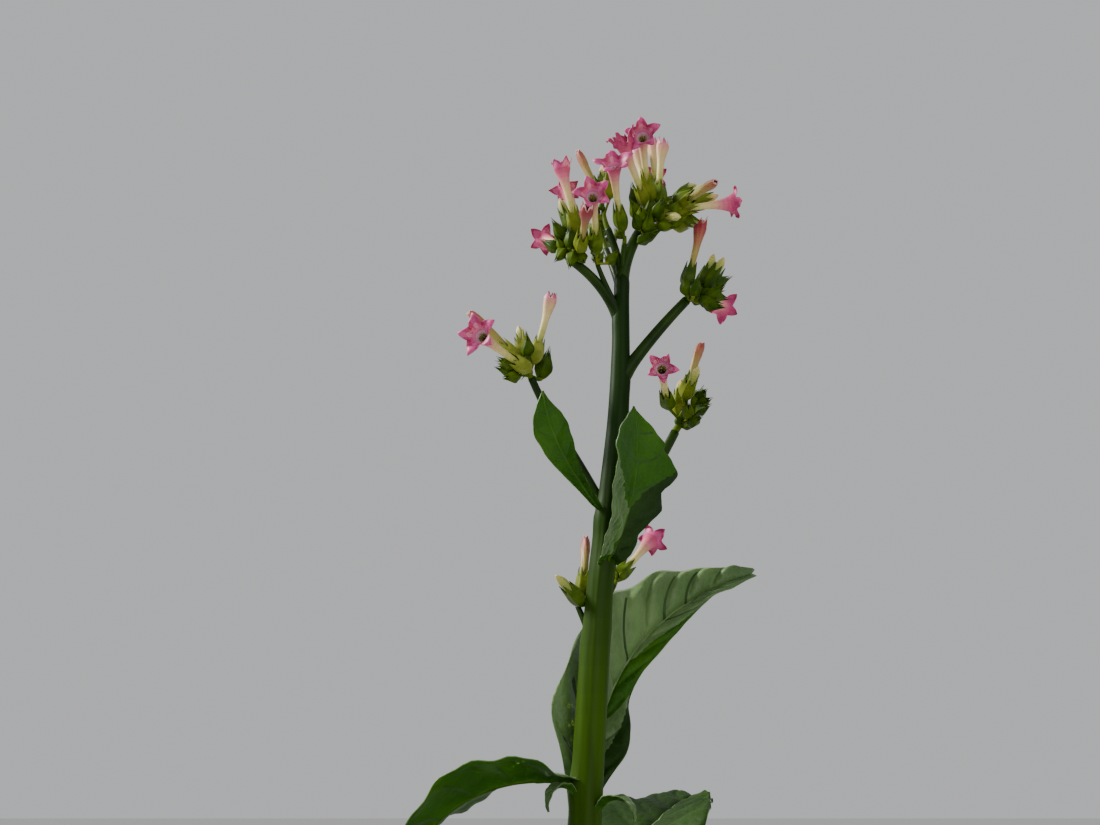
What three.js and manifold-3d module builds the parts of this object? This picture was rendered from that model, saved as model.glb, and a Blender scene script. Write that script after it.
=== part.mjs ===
// A tobacco plant in flower, from the flat cut at ground level to its topmost bloom.
// Millimetres, +Z up, +X to the right of the photographed view and +Y away from it.
// The origin is the middle of the cut under the stem.
// Azimuths turn from +X towards +Y, and a rise is the angle above the level, both in degrees.
import * as THREE from 'three';
import { mergeVertices } from 'three/addons/utils/BufferGeometryUtils.js';
import Module from 'manifold-3d';

const wasm = await Module();
wasm.setup();

// Driving sizes of the stem: how far its centre has leaned to the right, and how thick it is, by height.
const STEM_TOP = 1577;
const STEM_SIDES = 12;
const STEM_STEP = 52;
const FLARE_HEIGHT = 70;
const FLARE_GROWTH = 0.55;
const FLARE_RING = 0.35;
const STEM_LEAN = [[0, 0], [600, 14], [1220, 58], [1349, 68], [1414, 76], [1476, 83], [1577, 87.5]];
const STEM_RADIUS = [[0, 14.5], [600, 12.6], [1220, 9.6], [1300, 9.2], [1350, 8.3], [1476, 6.8], [1577, 4.6]];

// Every piece keeps the first distance from its neighbour, cuts leave no detail finer than the second,
// and points nearer than the third are one point.
const GAP = 0.3;
const FINEST = 0.03;
const SAME_POINT = 1e-4;
const GOLDEN_TURN = 137.5;

// The big leaves climb the stem in a spiral, evenly spaced, each size changing with height.
const LEAF_COUNT = 17;
const LOWEST_LEAF = 95;
const HIGHEST_LEAF = 1110;
const TOP_LEAF_AZIMUTH = 250;
const LEAF_LENGTH = [[0, 360], [300, 460], [650, 450], [1000, 350], [1150, 300]];
const LEAF_WIDTH = [[0, 175], [300, 220], [650, 200], [1000, 145], [1150, 120]];
const LEAF_RISE = [[0, 28], [400, 40], [1150, 38]];
const LEAF_DROOP = [[0, -42], [400, -40], [1150, -44]];
const LEAF_FOLD = 14;

// Slow waves along the spiral keep any two leaves from being alike: each a size, a step and a start.
const LEAF_WAVES = {
  turn: [10, 2.4, 0], rise: [5, 1.7, 0], droop: [9, 2.9, 1], length: [0.05, 3.3, 0], width: [0.06, 2.2, 0],
  roll: [14, 1.3, 0.5],
};

// Every blade's build: rings along it, points across it, and its outline and thickness.
const BLADE_STEPS = 7;
const BLADE_COLUMNS = [-1, -0.5, 0, 0.5, 1];
const BLADE_THINNESS = 95;
const THINNEST_BLADE = 1.5;
const RIB_DEPTH = 1.1;
const BASE_WIDTH = 0.24;
const WIDEST_AT = 0.45;
const WAIST = 1.35;
const TIP_FULLNESS = 1.7;
const TIP_POINT = 1.25;
const DROOP_EASE = 1.25;
const ROLLED_BY = 0.4;
const BASE_SUNK = 2;

// The upper leaves that the photograph shows one by one. A leaf turns and droops evenly from its base,
// rolls about its rib, and folds its halves up from it. A leaf may have its widest place and its waist
// further on, and a narrower half on its right-hand side.
const UPPER_LEAVES = {
  leaf_low_right: {
    height: 1150, azimuth: 60, turn: 0, rise: 43, droop: -3, length: 216, width: 92, fold: 14, roll: 0,
  },
  leaf_low_left: {
    height: 1243, azimuth: 196, turn: -4, rise: 8, droop: -94, length: 150, width: 66, fold: 12, roll: 24,
  },
  leaf_right: {
    height: 1208, azimuth: 84, turn: -82, rise: 68, droop: 14, length: 266, width: 100, fold: 32, roll: 58,
    widest: 0.27, waist: 4.0, nearShare: 0.48,
  },
  leaf_front: {
    height: 1371, azimuth: 295, turn: 3, rise: 34, droop: 110, length: 106, width: 72, fold: -8, roll: 27,
    widest: 0.7, waist: 1.4, nearShare: 0.8,
  },
  leaf_left: {
    height: 1404, azimuth: 228, turn: -26, rise: 33, droop: 84, length: 88, width: 23, fold: 6, roll: 71,
    widest: 0.72, waist: 3.0,
  },
  leaf_small_left: {
    height: 1233, azimuth: 222, turn: 0, rise: 60, droop: -110, length: 34, width: 11, fold: 24, roll: 0,
  },
  leaf_small_right: {
    height: 1220, azimuth: 330, turn: 0, rise: 84, droop: -100, length: 40, width: 14, fold: 20, roll: 0,
  },
};

// The boughs: where each leaves the stem, which way it sets off, turns and ends, its length and its radii.
const BOUGHS = {
  right_top: { height: 1566, azimuth: 0, rise: 82, tipRise: 55, length: 49, radius: 4.4, tipRadius: 3.4 },
  mid_top: { height: 1566, azimuth: 182, rise: 85, tipRise: 70, length: 41, radius: 3.0, tipRadius: 2.4 },
  front_top: { height: 1564, azimuth: 285, rise: 85, tipRise: 65, length: 28, radius: 2.4, tipRadius: 1.8 },
  back_top: { height: 1560, azimuth: 114, rise: 62, tipRise: 61, length: 46, radius: 3.2, tipRadius: 2.3 },
  left_top: { height: 1534, azimuth: 197, rise: 72, tipRise: 30, length: 55, radius: 4.0, tipRadius: 3.0 },
  left_inner: { height: 1540, azimuth: 212, rise: 55, tipRise: 66, length: 38, radius: 2.2, tipRadius: 1.6 },
  right: { height: 1494, azimuth: 3, rise: 56, tipRise: 47, length: 75, radius: 4.4, tipRadius: 3.2 },
  right_low: { height: 1378, azimuth: 24, rise: 55, tipRise: 60, length: 103, radius: 4.2, tipRadius: 3.0 },
  left: {
    height: 1400, azimuth: 146, turn: 85, rise: 66, tipRise: 53, length: 107, radius: 3.8, tipRadius: 2.4,
  },
  low_left: { height: 1322, azimuth: 150, rise: 62, tipRise: 65, length: 27, radius: 2.3, tipRadius: 1.7 },
  low_right: { height: 1332, azimuth: 40, rise: 68, tipRise: 54, length: 32, radius: 2.2, tipRadius: 1.6 },
};
const BOUGH_SIDES = 7;
const BOUGH_STEPS = 5;

// The stages of a flower, each as [distance from its base, radius] of its calyx and tube.
const STAGES = {
  young: [[0, 1.2], [6, 4.2], [17, 0.5]],
  bud: [[0, 1.2], [4, 4.3], [12, 4.6], [19, 2.7], [28, 0.9]],
  spent: [[0, 1.2], [4, 4.4], [12, 4.8], [19, 2.8], [36, 2.8], [46, 1.0]],
  closed: [[0, 1.2], [4, 4.3], [12, 4.8], [19, 2.7], [30, 2.5], [43, 4.4], [54, 0.8]],
  open: [[0, 1.2], [4, 4.5], [12, 5.1], [19, 2.9], [29, 2.5], [48, 4.5]],
};
const LOBES = 5;
const YOUNG_SIDES = 4;
const STALK_RADIUS = 1.2;
const STALK_BACK = 10;
const LIMB = { hollow: 49, notch: 51, notchRadius: 7.5, tip: 53, tipRadius: 11.6 };

// The flower heads. Each has an axis that carries its bough on, by length, end azimuth and end rise.
// Its blooms, as the photograph shows them, are [stage, right, away, up, azimuth, rise], where the first
// three place the base of the calyx from the bough's tip. Seeded buds fill its other sides.
const HEADS = {
  left_top: {
    length: 14, azimuth: 180, tipRise: 82, radius: 2.6, seed: 11, buds: 4, spread: 45,
    blooms: [
      ['open', -5, 2, 9, 110, 35], ['open', 3, -8, 15, 218, 74], ['open', 8, 14, 28, 125, 65],
      ['spent', 5, -11, 2, 274, 10], ['young', -6, -3, 15, 216, 46], ['young', -2, -10, 5, 260, 62],
      ['bud', 1, 5, 23, 202, 68], ['young', 1, -7, 3, 244, -68], ['young', -4, -4, 6, 222, -50],
      ['young', 5, -3, 5, 292, -54],
    ],
  },
  left_inner: {
    length: 6, azimuth: 215, tipRise: 70, radius: 1.5, seed: 23, buds: 0, spread: 60,
    blooms: [['open', -1, -10, 3, 264, 28], ['young', 2, 8, 6, 120, 60], ['young', 7, 3, 3, 30, 55]],
  },
  back_top: {
    length: 22, azimuth: 112, tipRise: 84, radius: 2.1, seed: 31, buds: 8, spread: 105,
    blooms: [
      ['spent', -2, 0, 39, 176, 68], ['bud', -1, 0, 46, 90, 75], ['bud', 4, 12, 12, 80, 40],
      ['young', -5, 10, 14, 120, 60],
    ],
  },
  mid_top: {
    length: 12, azimuth: 180, tipRise: 86, radius: 2.1, seed: 43, buds: 5, spread: 85,
    blooms: [['bud', 1, -6, 20, 20, 85], ['young', -6, 2, 12, 170, 60]],
  },
  front_top: {
    length: 5, azimuth: 285, tipRise: 84, radius: 1.7, seed: 47, buds: 0, spread: 60,
    blooms: [['open', -1, -6, 6, 258, 36]],
  },
  right_top: {
    length: 26, azimuth: 0, tipRise: 12, radius: 3.0, seed: 57, buds: 12, spread: 80,
    blooms: [
      ['open', 2, -6, 7, 240, 37], ['open', 3, -10, 10, 254, 57], ['closed', 4, 8, 18, 138, 78],
      ['closed', 10, 14, 26, 100, 85], ['closed', 9, -8, 9, 0, 85], ['open', 9, 16, 15, 82, 60],
      ['bud', 22, 5, 20, 35, 45], ['spent', 23, -8, 7, 294, -6], ['open', 14, -12, 2, 15, 15],
      ['spent', 20, 4, -1, 50, 25], ['young', 1, -12, -4, 270, 50], ['young', -6, -4, 12, 180, 75],
      ['young', 5, -16, -6, 295, 40], ['young', 15, -10, -2, 330, 40], ['young', 16, -4, -6, 335, 30],
      ['young', 6, -12, -10, 325, -25], ['young', -3, -7, -12, 320, -5], ['young', -4, -9, -19, 320, 8],
      ['young', -6, -6, -19, 308, -8], ['young', -6, -12, -12, 246, 26], ['young', -1, -12, -15, 278, 36],
      ['young', -7, -10, -3, 240, 30], ['young', -4, -13, -7, 262, 14],
    ],
  },
  right: {
    length: 16, azimuth: 10, tipRise: 25, radius: 2.9, seed: 61, buds: 8, spread: 70,
    blooms: [
      ['closed', -1, -6, 6, 8, 75], ['bud', 10, 2, 12, 15, 65], ['bud', 13, -3, 7, 5, 60],
      ['young', 7, -8, -3, 345, -18], ['open', 14, 5, 5, 65, 15], ['young', 3, -12, -3, 320, 75],
      ['young', 12, -8, -2, 320, 20], ['young', 10, -8, -6, 325, -20], ['young', 0, -9, -1, 190, 80],
    ],
  },
  right_low: {
    length: 20, azimuth: 0, tipRise: 28, radius: 2.6, seed: 71, buds: 6, spread: 60,
    blooms: [
      ['open', -4, -8, 14, 258, 18], ['spent', 9, 2, 24, 18, 72], ['bud', 6, -6, 22, 288, 28],
      ['young', 13, -4, 15, 320, 56], ['young', 16, -2, 22, 290, 8], ['young', 16, -4, 18, 298, -2],
      ['young', 15, -6, 12, 294, -4], ['young', 9, -6, 3, 292, -4], ['young', 8, -9, 7, 268, 16],
    ],
  },
  left: {
    length: 8, azimuth: 190, tipRise: 75, radius: 2.0, seed: 83, buds: 3, spread: 90,
    blooms: [
      ['open', 0, -6, 2, 224, 16], ['closed', -5, 4, 11, 176, 46], ['bud', -4, 7, 12, 170, 80],
      ['closed', 1, 0, 9, 358, 76], ['bud', 6, 8, 2, 10, 75], ['young', -10, -6, 3, 220, 14],
      ['young', -11, -2, 1, 220, 2], ['young', -8, -4, -1, 232, -22],
    ],
  },
  low_left: {
    length: 4, azimuth: 150, tipRise: 60, radius: 1.5, seed: 97, buds: 0, spread: 60,
    blooms: [['spent', 3, 2, 6, 80, 65], ['bud', 4, -2, 0, 220, 35]],
  },
  low_right: {
    length: 4, azimuth: 40, tipRise: 50, radius: 1.5, seed: 101, buds: 1, spread: 60,
    blooms: [['open', 0, 4, 4, 45, 40], ['young', -3, 6, 5, 90, 60]],
  },
};
const HEAD_SIDES = 6;
const HEAD_STEPS = 4;
const HEAD_TAPER = 0.7;

// Seeded buds: their stalks, their leans in degrees, and how near they may come to a bloom of their own
// head or of another one, as a share of both radii. One that has no room is left out, and so is one that
// would stand out of the photographed outline of its head.
const SHORTEST_STALK = 4;
const LONGEST_STALK = 9;
const YOUNG_SHARE = 0.6;
const TOP_LEAN = 16;
const LEAN_VARIES = 14;
const TURN_VARIES = 40;
const OWN_CROWDING = 0.62;
const OTHER_CROWDING = 1.15;
const FIRST_LIMB = 1150;
const STEM_BALL_STEP = 8;

// The plant's greens.
const STEM_GREEN = 0x55751f;
const LEAF_GREEN = 0x4a7a26;
const HEAD_GREEN = 0x7a8f3a;

// Seeded random numbers from 0 to 1.
const SEED_FACTOR = 1664525;
const SEED_STEP = 1013904223;
const SEED_RANGE = 4294967296;

function seeded(seed) {
  let state = seed;
  return () => {
    state = (state * SEED_FACTOR + SEED_STEP) % SEED_RANGE;
    return state / SEED_RANGE;
  };
}

const radians = (degrees) => (degrees * Math.PI) / 180;
const mix = (a, b, t) => a + (b - a) * t;

// A smooth value between the [place, value] pairs of a short table.
function along(table, place) {
  let i = 0;
  while (i < table.length - 2 && place > table[i + 1][0]) i += 1;
  const slopeAt = (k) => {
    const a = table[Math.max(k - 1, 0)];
    const b = table[Math.min(k + 1, table.length - 1)];
    return (b[1] - a[1]) / (b[0] - a[0]);
  };
  const [x0, y0] = table[i];
  const [x1, y1] = table[i + 1];
  const h = x1 - x0;
  const t = Math.min(Math.max((place - x0) / h, 0), 1);
  const m0 = slopeAt(i) * h;
  const m1 = slopeAt(i + 1) * h;
  return (2 * t ** 3 - 3 * t ** 2 + 1) * y0 + (t ** 3 - 2 * t ** 2 + t) * m0
    + (3 * t ** 2 - 2 * t ** 3) * y1 + (t ** 3 - t ** 2) * m1;
}

function heading(azimuth, rise) {
  const a = radians(azimuth);
  const e = radians(rise);
  return new THREE.Vector3(Math.cos(e) * Math.cos(a), Math.cos(e) * Math.sin(a), Math.sin(e));
}

function stemCentre(z) {
  return new THREE.Vector3(along(STEM_LEAN, z), 0, z);
}

function stemRadius(z) {
  const flare = Math.max(0, 1 - z / FLARE_HEIGHT) ** 2;
  return along(STEM_RADIUS, z) * (1 + FLARE_GROWTH * flare);
}

// A limb's centreline: it sets off one way and ends another, turning evenly between them.
function limbPath({ start, azimuth, turn = 0, rise, tipRise, length, steps }) {
  const points = [start.clone()];
  for (let i = 0; i < steps; i += 1) {
    const t = (i + 0.5) / steps;
    const step = heading(azimuth + turn * t, mix(rise, tipRise, t)).multiplyScalar(length / steps);
    points.push(points[i].clone().add(step));
  }
  return points;
}

// The point at a distance along a centreline.
function pointOn(points, distance) {
  let left = distance;
  for (let i = 0; i < points.length - 1; i += 1) {
    const span = points[i].distanceTo(points[i + 1]);
    if (left <= span) return points[i].clone().lerp(points[i + 1], left / span);
    left -= span;
  }
  return points[points.length - 1].clone();
}

// The point of a centreline that is nearest to a target.
function nearestOn(points, target) {
  const nearest = new THREE.Vector3();
  const candidates = points.slice(1).map((end, i) => new THREE.Line3(points[i], end)
    .closestPointToPoint(target, true, nearest).clone());
  return candidates.reduce((a, b) => (b.distanceTo(target) < a.distanceTo(target) ? b : a));
}

function closedSolid(points, index) {
  const loose = new THREE.BufferGeometry();
  loose.setAttribute('position', new THREE.Float32BufferAttribute(points.flatMap((p) => p.toArray()), 3));
  loose.setIndex(index);
  const merged = mergeVertices(loose, SAME_POINT);
  return new wasm.Manifold(new wasm.Mesh({
    numProp: 3,
    vertProperties: merged.attributes.position.array,
    triVerts: new Uint32Array(merged.index.array),
  }));
}

// A closed solid from rings of equal length, joined ring to ring. Its far end is a flat cap, or a crown:
// a star-shaped rim with two points for each side, round a hollow middle.
function ringSolid(rings, crown) {
  const sides = rings[0].length;
  const last = (rings.length - 1) * sides;
  const points = rings.flat();
  const index = [];
  for (let k = 0; k < sides; k += 1) {
    const next = (k + 1) % sides;
    for (let ring = 0; ring < last; ring += sides) {
      const above = ring + sides;
      index.push(ring + k, ring + next, above + next, ring + k, above + next, above + k);
    }
  }
  for (let k = 1; k < sides - 1; k += 1) {
    index.push(0, k + 1, k);
    if (!crown) index.push(last, last + k, last + k + 1);
  }
  if (crown) {
    const rim = points.length;
    const middle = rim + 2 * sides;
    points.push(...crown.rim, crown.middle);
    for (let k = 0; k < sides; k += 1) {
      const next = (k + 1) % sides;
      const tip = rim + 2 * k;
      const nextTip = rim + 2 * next;
      index.push(last + k, last + next, tip + 1, last + k, tip + 1, tip, last + next, nextTip, tip + 1);
      index.push(tip, tip + 1, middle, tip + 1, nextTip, middle);
    }
  }
  return closedSolid(points, index);
}

// Round rings square to a centreline, with a radius at each of its points.
function roundRings(points, radii, sides) {
  const side = new THREE.Vector3(0, 1, 0.01);
  const last = points.length - 1;
  return points.map((p, i) => {
    const tangent = points[Math.min(i + 1, last)].clone().sub(points[Math.max(i - 1, 0)]).normalize();
    side.addScaledVector(tangent, -side.dot(tangent)).normalize();
    const up = new THREE.Vector3().crossVectors(tangent, side);
    return Array.from({ length: sides }, (_, k) => {
      const a = (2 * Math.PI * k) / sides;
      const out = side.clone().multiplyScalar(Math.cos(a)).addScaledVector(up, Math.sin(a));
      return p.clone().addScaledVector(out, radii[i]);
    });
  });
}

const limbSolid = (points, radii, sides) => ringSolid(roundRings(points, radii, sides));

// What is left of a solid outside others, without loose scraps.
function without(solid, others) {
  const bodies = others.reduce((left, other) => left.subtract(other), solid).simplify(FINEST).decompose();
  return bodies.reduce((a, b) => (b.volume() > a.volume() ? b : a));
}

function stemSolid(extra) {
  const count = Math.round(STEM_TOP / STEM_STEP);
  const heights = [0, FLARE_HEIGHT * FLARE_RING];
  for (let i = 1; i <= count; i += 1) heights.push((STEM_TOP * i) / count);
  const rings = heights.map((z) => {
    const centre = stemCentre(z);
    const r = stemRadius(z) + extra;
    return Array.from({ length: STEM_SIDES }, (_, k) => {
      const a = (2 * Math.PI * k) / STEM_SIDES;
      return new THREE.Vector3(centre.x + r * Math.cos(a), centre.y + r * Math.sin(a), z);
    });
  });
  rings[rings.length - 1].forEach((p) => { p.z += extra; });
  return ringSolid(rings);
}

function boughPath(bough) {
  return limbPath({ ...bough, start: stemCentre(bough.height), steps: BOUGH_STEPS });
}

function boughSolid(bough, extra) {
  const points = boughPath(bough);
  const radii = points.map((_, i) => mix(bough.radius, bough.tipRadius, i / BOUGH_STEPS) + extra);
  return limbSolid(points, radii, BOUGH_SIDES);
}

// The head's own axis, which carries its bough on after a small gap.
function headPath(name) {
  const bough = BOUGHS[name];
  const head = HEADS[name];
  const points = boughPath(bough);
  const tip = points[BOUGH_STEPS];
  const azimuth = bough.azimuth + (bough.turn ?? 0);
  const turn = ((head.azimuth - azimuth + 540) % 360) - 180;
  const start = tip.clone().add(tip.clone().sub(points[BOUGH_STEPS - 1]).setLength(GAP));
  return limbPath({
    start, azimuth, turn, rise: bough.tipRise, tipRise: head.tipRise, length: head.length, steps: HEAD_STEPS,
  });
}

// Balls that stand for a bloom when its room is tested: its calyx, its tube and its limb.
function bloomBalls({ stage, base, axis }) {
  const at = (distance, radius) => ({ centre: base.clone().addScaledVector(axis, distance), radius });
  const balls = STAGES[stage].slice(1).map(([distance, radius]) => at(distance, radius));
  return stage === 'open' ? [...balls, at(LIMB.tip, LIMB.tipRadius)] : balls;
}

function limbBalls(points, radius, tipRadius) {
  const last = points.length - 1;
  const places = Array.from({ length: 2 * last + 1 }, (_, k) => k / 2);
  return places.map((place) => {
    const i = Math.min(Math.floor(place), last - 1);
    const centre = points[i].clone().lerp(points[i + 1], place - i);
    return { centre, radius: mix(radius, tipRadius, place / last) };
  });
}

function collide(balls, others, share) {
  return balls.some((a) => others.some((b) => a.centre.distanceTo(b.centre) < share * (a.radius + b.radius)));
}

// How far some balls reach to the left, the right, down and up.
function reach(balls) {
  return {
    left: Math.min(...balls.map(({ centre, radius }) => centre.x - radius)),
    right: Math.max(...balls.map(({ centre, radius }) => centre.x + radius)),
    low: Math.min(...balls.map(({ centre, radius }) => centre.z - radius)),
    high: Math.max(...balls.map(({ centre, radius }) => centre.z + radius)),
  };
}

// A bloom's stalk leaves the head's axis where that is nearest to a point behind the calyx.
function placedBloom(axisPoints, [stage, right, away, up, azimuth, rise]) {
  const axis = heading(azimuth, rise);
  const base = axisPoints[0].clone().add(new THREE.Vector3(right, away, up));
  const root = nearestOn(axisPoints, base.clone().addScaledVector(axis, -STALK_BACK));
  return { stage, root, axis, base };
}

// The seeded buds stand out on all sides of the head's axis, the lowest ones furthest out.
function seededBlooms(head, axisPoints) {
  const random = seeded(head.seed);
  const ahead = axisPoints[HEAD_STEPS].clone().sub(axisPoints[HEAD_STEPS - 1]).normalize();
  const across = new THREE.Vector3(0, 1, 0.2).cross(ahead).normalize();
  const other = new THREE.Vector3().crossVectors(ahead, across);
  return Array.from({ length: head.buds }, (_, k) => {
    const t = (k + 0.5) / head.buds;
    const turn = radians(GOLDEN_TURN * k + TURN_VARIES * random());
    const lean = radians(mix(head.spread, TOP_LEAN, t) + LEAN_VARIES * (random() - 0.5));
    const axis = ahead.clone().multiplyScalar(Math.cos(lean))
      .addScaledVector(across, Math.sin(lean) * Math.cos(turn))
      .addScaledVector(other, Math.sin(lean) * Math.sin(turn)).normalize();
    const stage = random() < YOUNG_SHARE ? 'young' : 'bud';
    const root = pointOn(axisPoints, head.length * t);
    const stalk = mix(SHORTEST_STALK, LONGEST_STALK, random());
    return { stage, root, axis, base: root.clone().addScaledVector(axis, stalk) };
  });
}

// Every head's blooms: the placed ones, and then the seeded ones that have room.
function growHeads() {
  const limbs = Object.values(BOUGHS).flatMap((b) => limbBalls(boughPath(b), b.radius, b.tipRadius));
  for (let z = FIRST_LIMB; z <= STEM_TOP; z += STEM_BALL_STEP) {
    limbs.push({ centre: stemCentre(z), radius: stemRadius(z) });
  }
  const grown = Object.entries(HEADS).map(([name, head]) => {
    const axisPoints = headPath(name);
    return { name, head, axisPoints, blooms: head.blooms.map((row) => placedBloom(axisPoints, row)) };
  });
  for (const mine of grown) {
    const neighbours = grown.filter((one) => one !== mine).flatMap((one) => one.blooms);
    const others = neighbours.flatMap(bloomBalls).concat(limbs);
    const outline = reach(mine.blooms.flatMap(bloomBalls));
    for (const bloom of seededBlooms(mine.head, mine.axisPoints)) {
      const balls = bloomBalls(bloom);
      const { left, right, low, high } = reach(balls);
      const inside = left > outline.left && right < outline.right && low > outline.low && high < outline.high;
      const crowded = collide(balls, mine.blooms.flatMap(bloomBalls), OWN_CROWDING);
      if (inside && !crowded && !collide(balls, others, OTHER_CROWDING)) mine.blooms.push(bloom);
    }
  }
  return grown;
}

// A bloom from its stalk to its tip. An open flower ends in a shallow five-pointed star.
function bloomSolid({ stage, root, base, axis }) {
  const profile = STAGES[stage];
  const at = (distance) => base.clone().addScaledVector(axis, distance);
  const points = [root, ...profile.map(([distance]) => at(distance))];
  const rings = roundRings(points, [STALK_RADIUS, ...profile.map(([, radius]) => radius)],
    stage === 'young' ? YOUNG_SIDES : LOBES);
  if (stage !== 'open') return ringSolid(rings);
  const mouth = rings[rings.length - 1];
  const centre = at(profile[profile.length - 1][0]);
  const rim = mouth.flatMap((p, k) => {
    const out = p.clone().sub(centre).normalize();
    const nextOut = mouth[(k + 1) % LOBES].clone().sub(centre).normalize();
    const tip = at(LIMB.tip).addScaledVector(out, LIMB.tipRadius);
    return [tip, at(LIMB.notch).addScaledVector(out.add(nextOut).normalize(), LIMB.notchRadius)];
  });
  return ringSolid(rings, { rim, middle: at(LIMB.hollow) });
}

function headSolid({ head, axisPoints, blooms }) {
  const radii = axisPoints.map((_, i) => mix(head.radius, head.radius * HEAD_TAPER, i / HEAD_STEPS));
  const solids = [limbSolid(axisPoints, radii, HEAD_SIDES), ...blooms.map(bloomSolid)];
  return solids.reduce((all, one) => all.add(one));
}

// Half the blade's width at a share of its length: clasping base, broad middle, drawn-out tip.
function halfWidth({ width, widest = WIDEST_AT, waist = WAIST }, t) {
  if (t < widest) return (width / 2) * mix(BASE_WIDTH, 1, Math.sin((Math.PI / 2) * (t / widest)) ** waist);
  const u = (t - widest) / (1 - widest);
  return (width / 2) * (1 - u ** TIP_FULLNESS) ** TIP_POINT;
}

// The blade's rib, with the way across the blade and the way up from it at each step.
function bladeFrames(leaf) {
  const sunk = stemRadius(leaf.height) - BASE_SUNK;
  const p = stemCentre(leaf.height).addScaledVector(heading(leaf.azimuth, 0), sunk);
  const frames = [];
  const tangentAt = (t) => heading(leaf.azimuth + leaf.turn * t, mix(leaf.rise, leaf.droop, t ** DROOP_EASE));
  for (let i = 0; i <= BLADE_STEPS; i += 1) {
    const t = i / BLADE_STEPS;
    const tangent = tangentAt(t);
    const rolled = Math.sin((Math.PI / 2) * Math.min(t / ROLLED_BY, 1));
    const side = heading(leaf.azimuth + leaf.turn * t + 90, 0);
    side.applyAxisAngle(tangent, radians(leaf.roll * rolled));
    frames.push({ t, centre: p.clone(), side, normal: new THREE.Vector3().crossVectors(tangent, side) });
    p.addScaledVector(tangentAt(t + 0.5 / BLADE_STEPS), leaf.length / BLADE_STEPS);
  }
  return frames;
}

function leafSolid(leaf) {
  const thick = Math.max(THINNEST_BLADE, leaf.length / BLADE_THINNESS);
  const fold = radians(leaf.fold);
  const { nearShare = 1 } = leaf;
  const rings = bladeFrames(leaf).map(({ t, centre, side, normal }) => {
    const at = (s, lift) => {
      const half = Math.max(halfWidth(leaf, t) * (s < 0 ? nearShare : 1), thick / 2);
      const out = Math.abs(s) * half;
      return centre.clone().addScaledVector(side, Math.sign(s) * out * Math.cos(fold))
        .addScaledVector(normal, out * Math.sin(fold) + lift);
    };
    const top = BLADE_COLUMNS.map((s) => at(s, thick / 2));
    const under = BLADE_COLUMNS.map((s) => at(s, -thick / 2 - (s === 0 ? RIB_DEPTH * thick * (1 - t) : 0)));
    return [...under, ...top.reverse()];
  });
  return ringSolid(rings);
}

// The spiral of big leaves below the photographed ones.
function spiralLeaves() {
  const leaves = {};
  for (let i = 0; i < LEAF_COUNT; i += 1) {
    const wave = ([size, step, start]) => size * Math.sin(step * i + start);
    const height = mix(LOWEST_LEAF, HIGHEST_LEAF, i / (LEAF_COUNT - 1));
    leaves[`leaf_${String(i + 1).padStart(2, '0')}`] = {
      height,
      azimuth: TOP_LEAF_AZIMUTH + GOLDEN_TURN * (LEAF_COUNT - 1 - i),
      turn: wave(LEAF_WAVES.turn),
      rise: along(LEAF_RISE, height) + wave(LEAF_WAVES.rise),
      droop: along(LEAF_DROOP, height) + wave(LEAF_WAVES.droop),
      length: along(LEAF_LENGTH, height) * (1 + wave(LEAF_WAVES.length)),
      width: along(LEAF_WIDTH, height) * (1 + wave(LEAF_WAVES.width)),
      fold: LEAF_FOLD,
      roll: wave(LEAF_WAVES.roll),
    };
  }
  return leaves;
}

function meshOf(name, solid, color) {
  const { vertProperties, triVerts } = solid.getMesh();
  const geometry = new THREE.BufferGeometry();
  geometry.setAttribute('position', new THREE.BufferAttribute(new Float32Array(vertProperties), 3));
  geometry.setIndex(new THREE.BufferAttribute(triVerts, 1));
  geometry.computeVertexNormals();
  const material = new THREE.MeshStandardMaterial({ color, roughness: 0.6, metalness: 0, flatShading: true });
  const mesh = new THREE.Mesh(geometry, material);
  mesh.name = name;
  return mesh;
}

const plant = new THREE.Group();
plant.add(meshOf('main_stem', stemSolid(0), STEM_GREEN));

// Each bough is cut clear of the stem and of the boughs before it, and heads and leaves of them all.
const taken = [stemSolid(GAP)];
for (const [name, bough] of Object.entries(BOUGHS)) {
  plant.add(meshOf(`bough_${name}`, without(boughSolid(bough, 0), taken), STEM_GREEN));
  taken.push(boughSolid(bough, GAP));
}
for (const grown of growHeads()) {
  plant.add(meshOf(`head_${grown.name}`, without(headSolid(grown), taken), HEAD_GREEN));
}
for (const [name, leaf] of Object.entries({ ...spiralLeaves(), ...UPPER_LEAVES })) {
  plant.add(meshOf(name, without(leafSolid(leaf), taken), LEAF_GREEN));
}

export default plant;
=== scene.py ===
# The looks of the flowering tobacco plant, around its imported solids.
# Sizes are in millimetres and turned into metres where a mesh is made. +Z is up, +X is to the right of
# the photographed view and +Y is away from it. Azimuths turn from +X towards +Y, and a rise is the angle
# above the level, both in degrees. The tables and rules of growth are those of the solids.
import math

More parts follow.
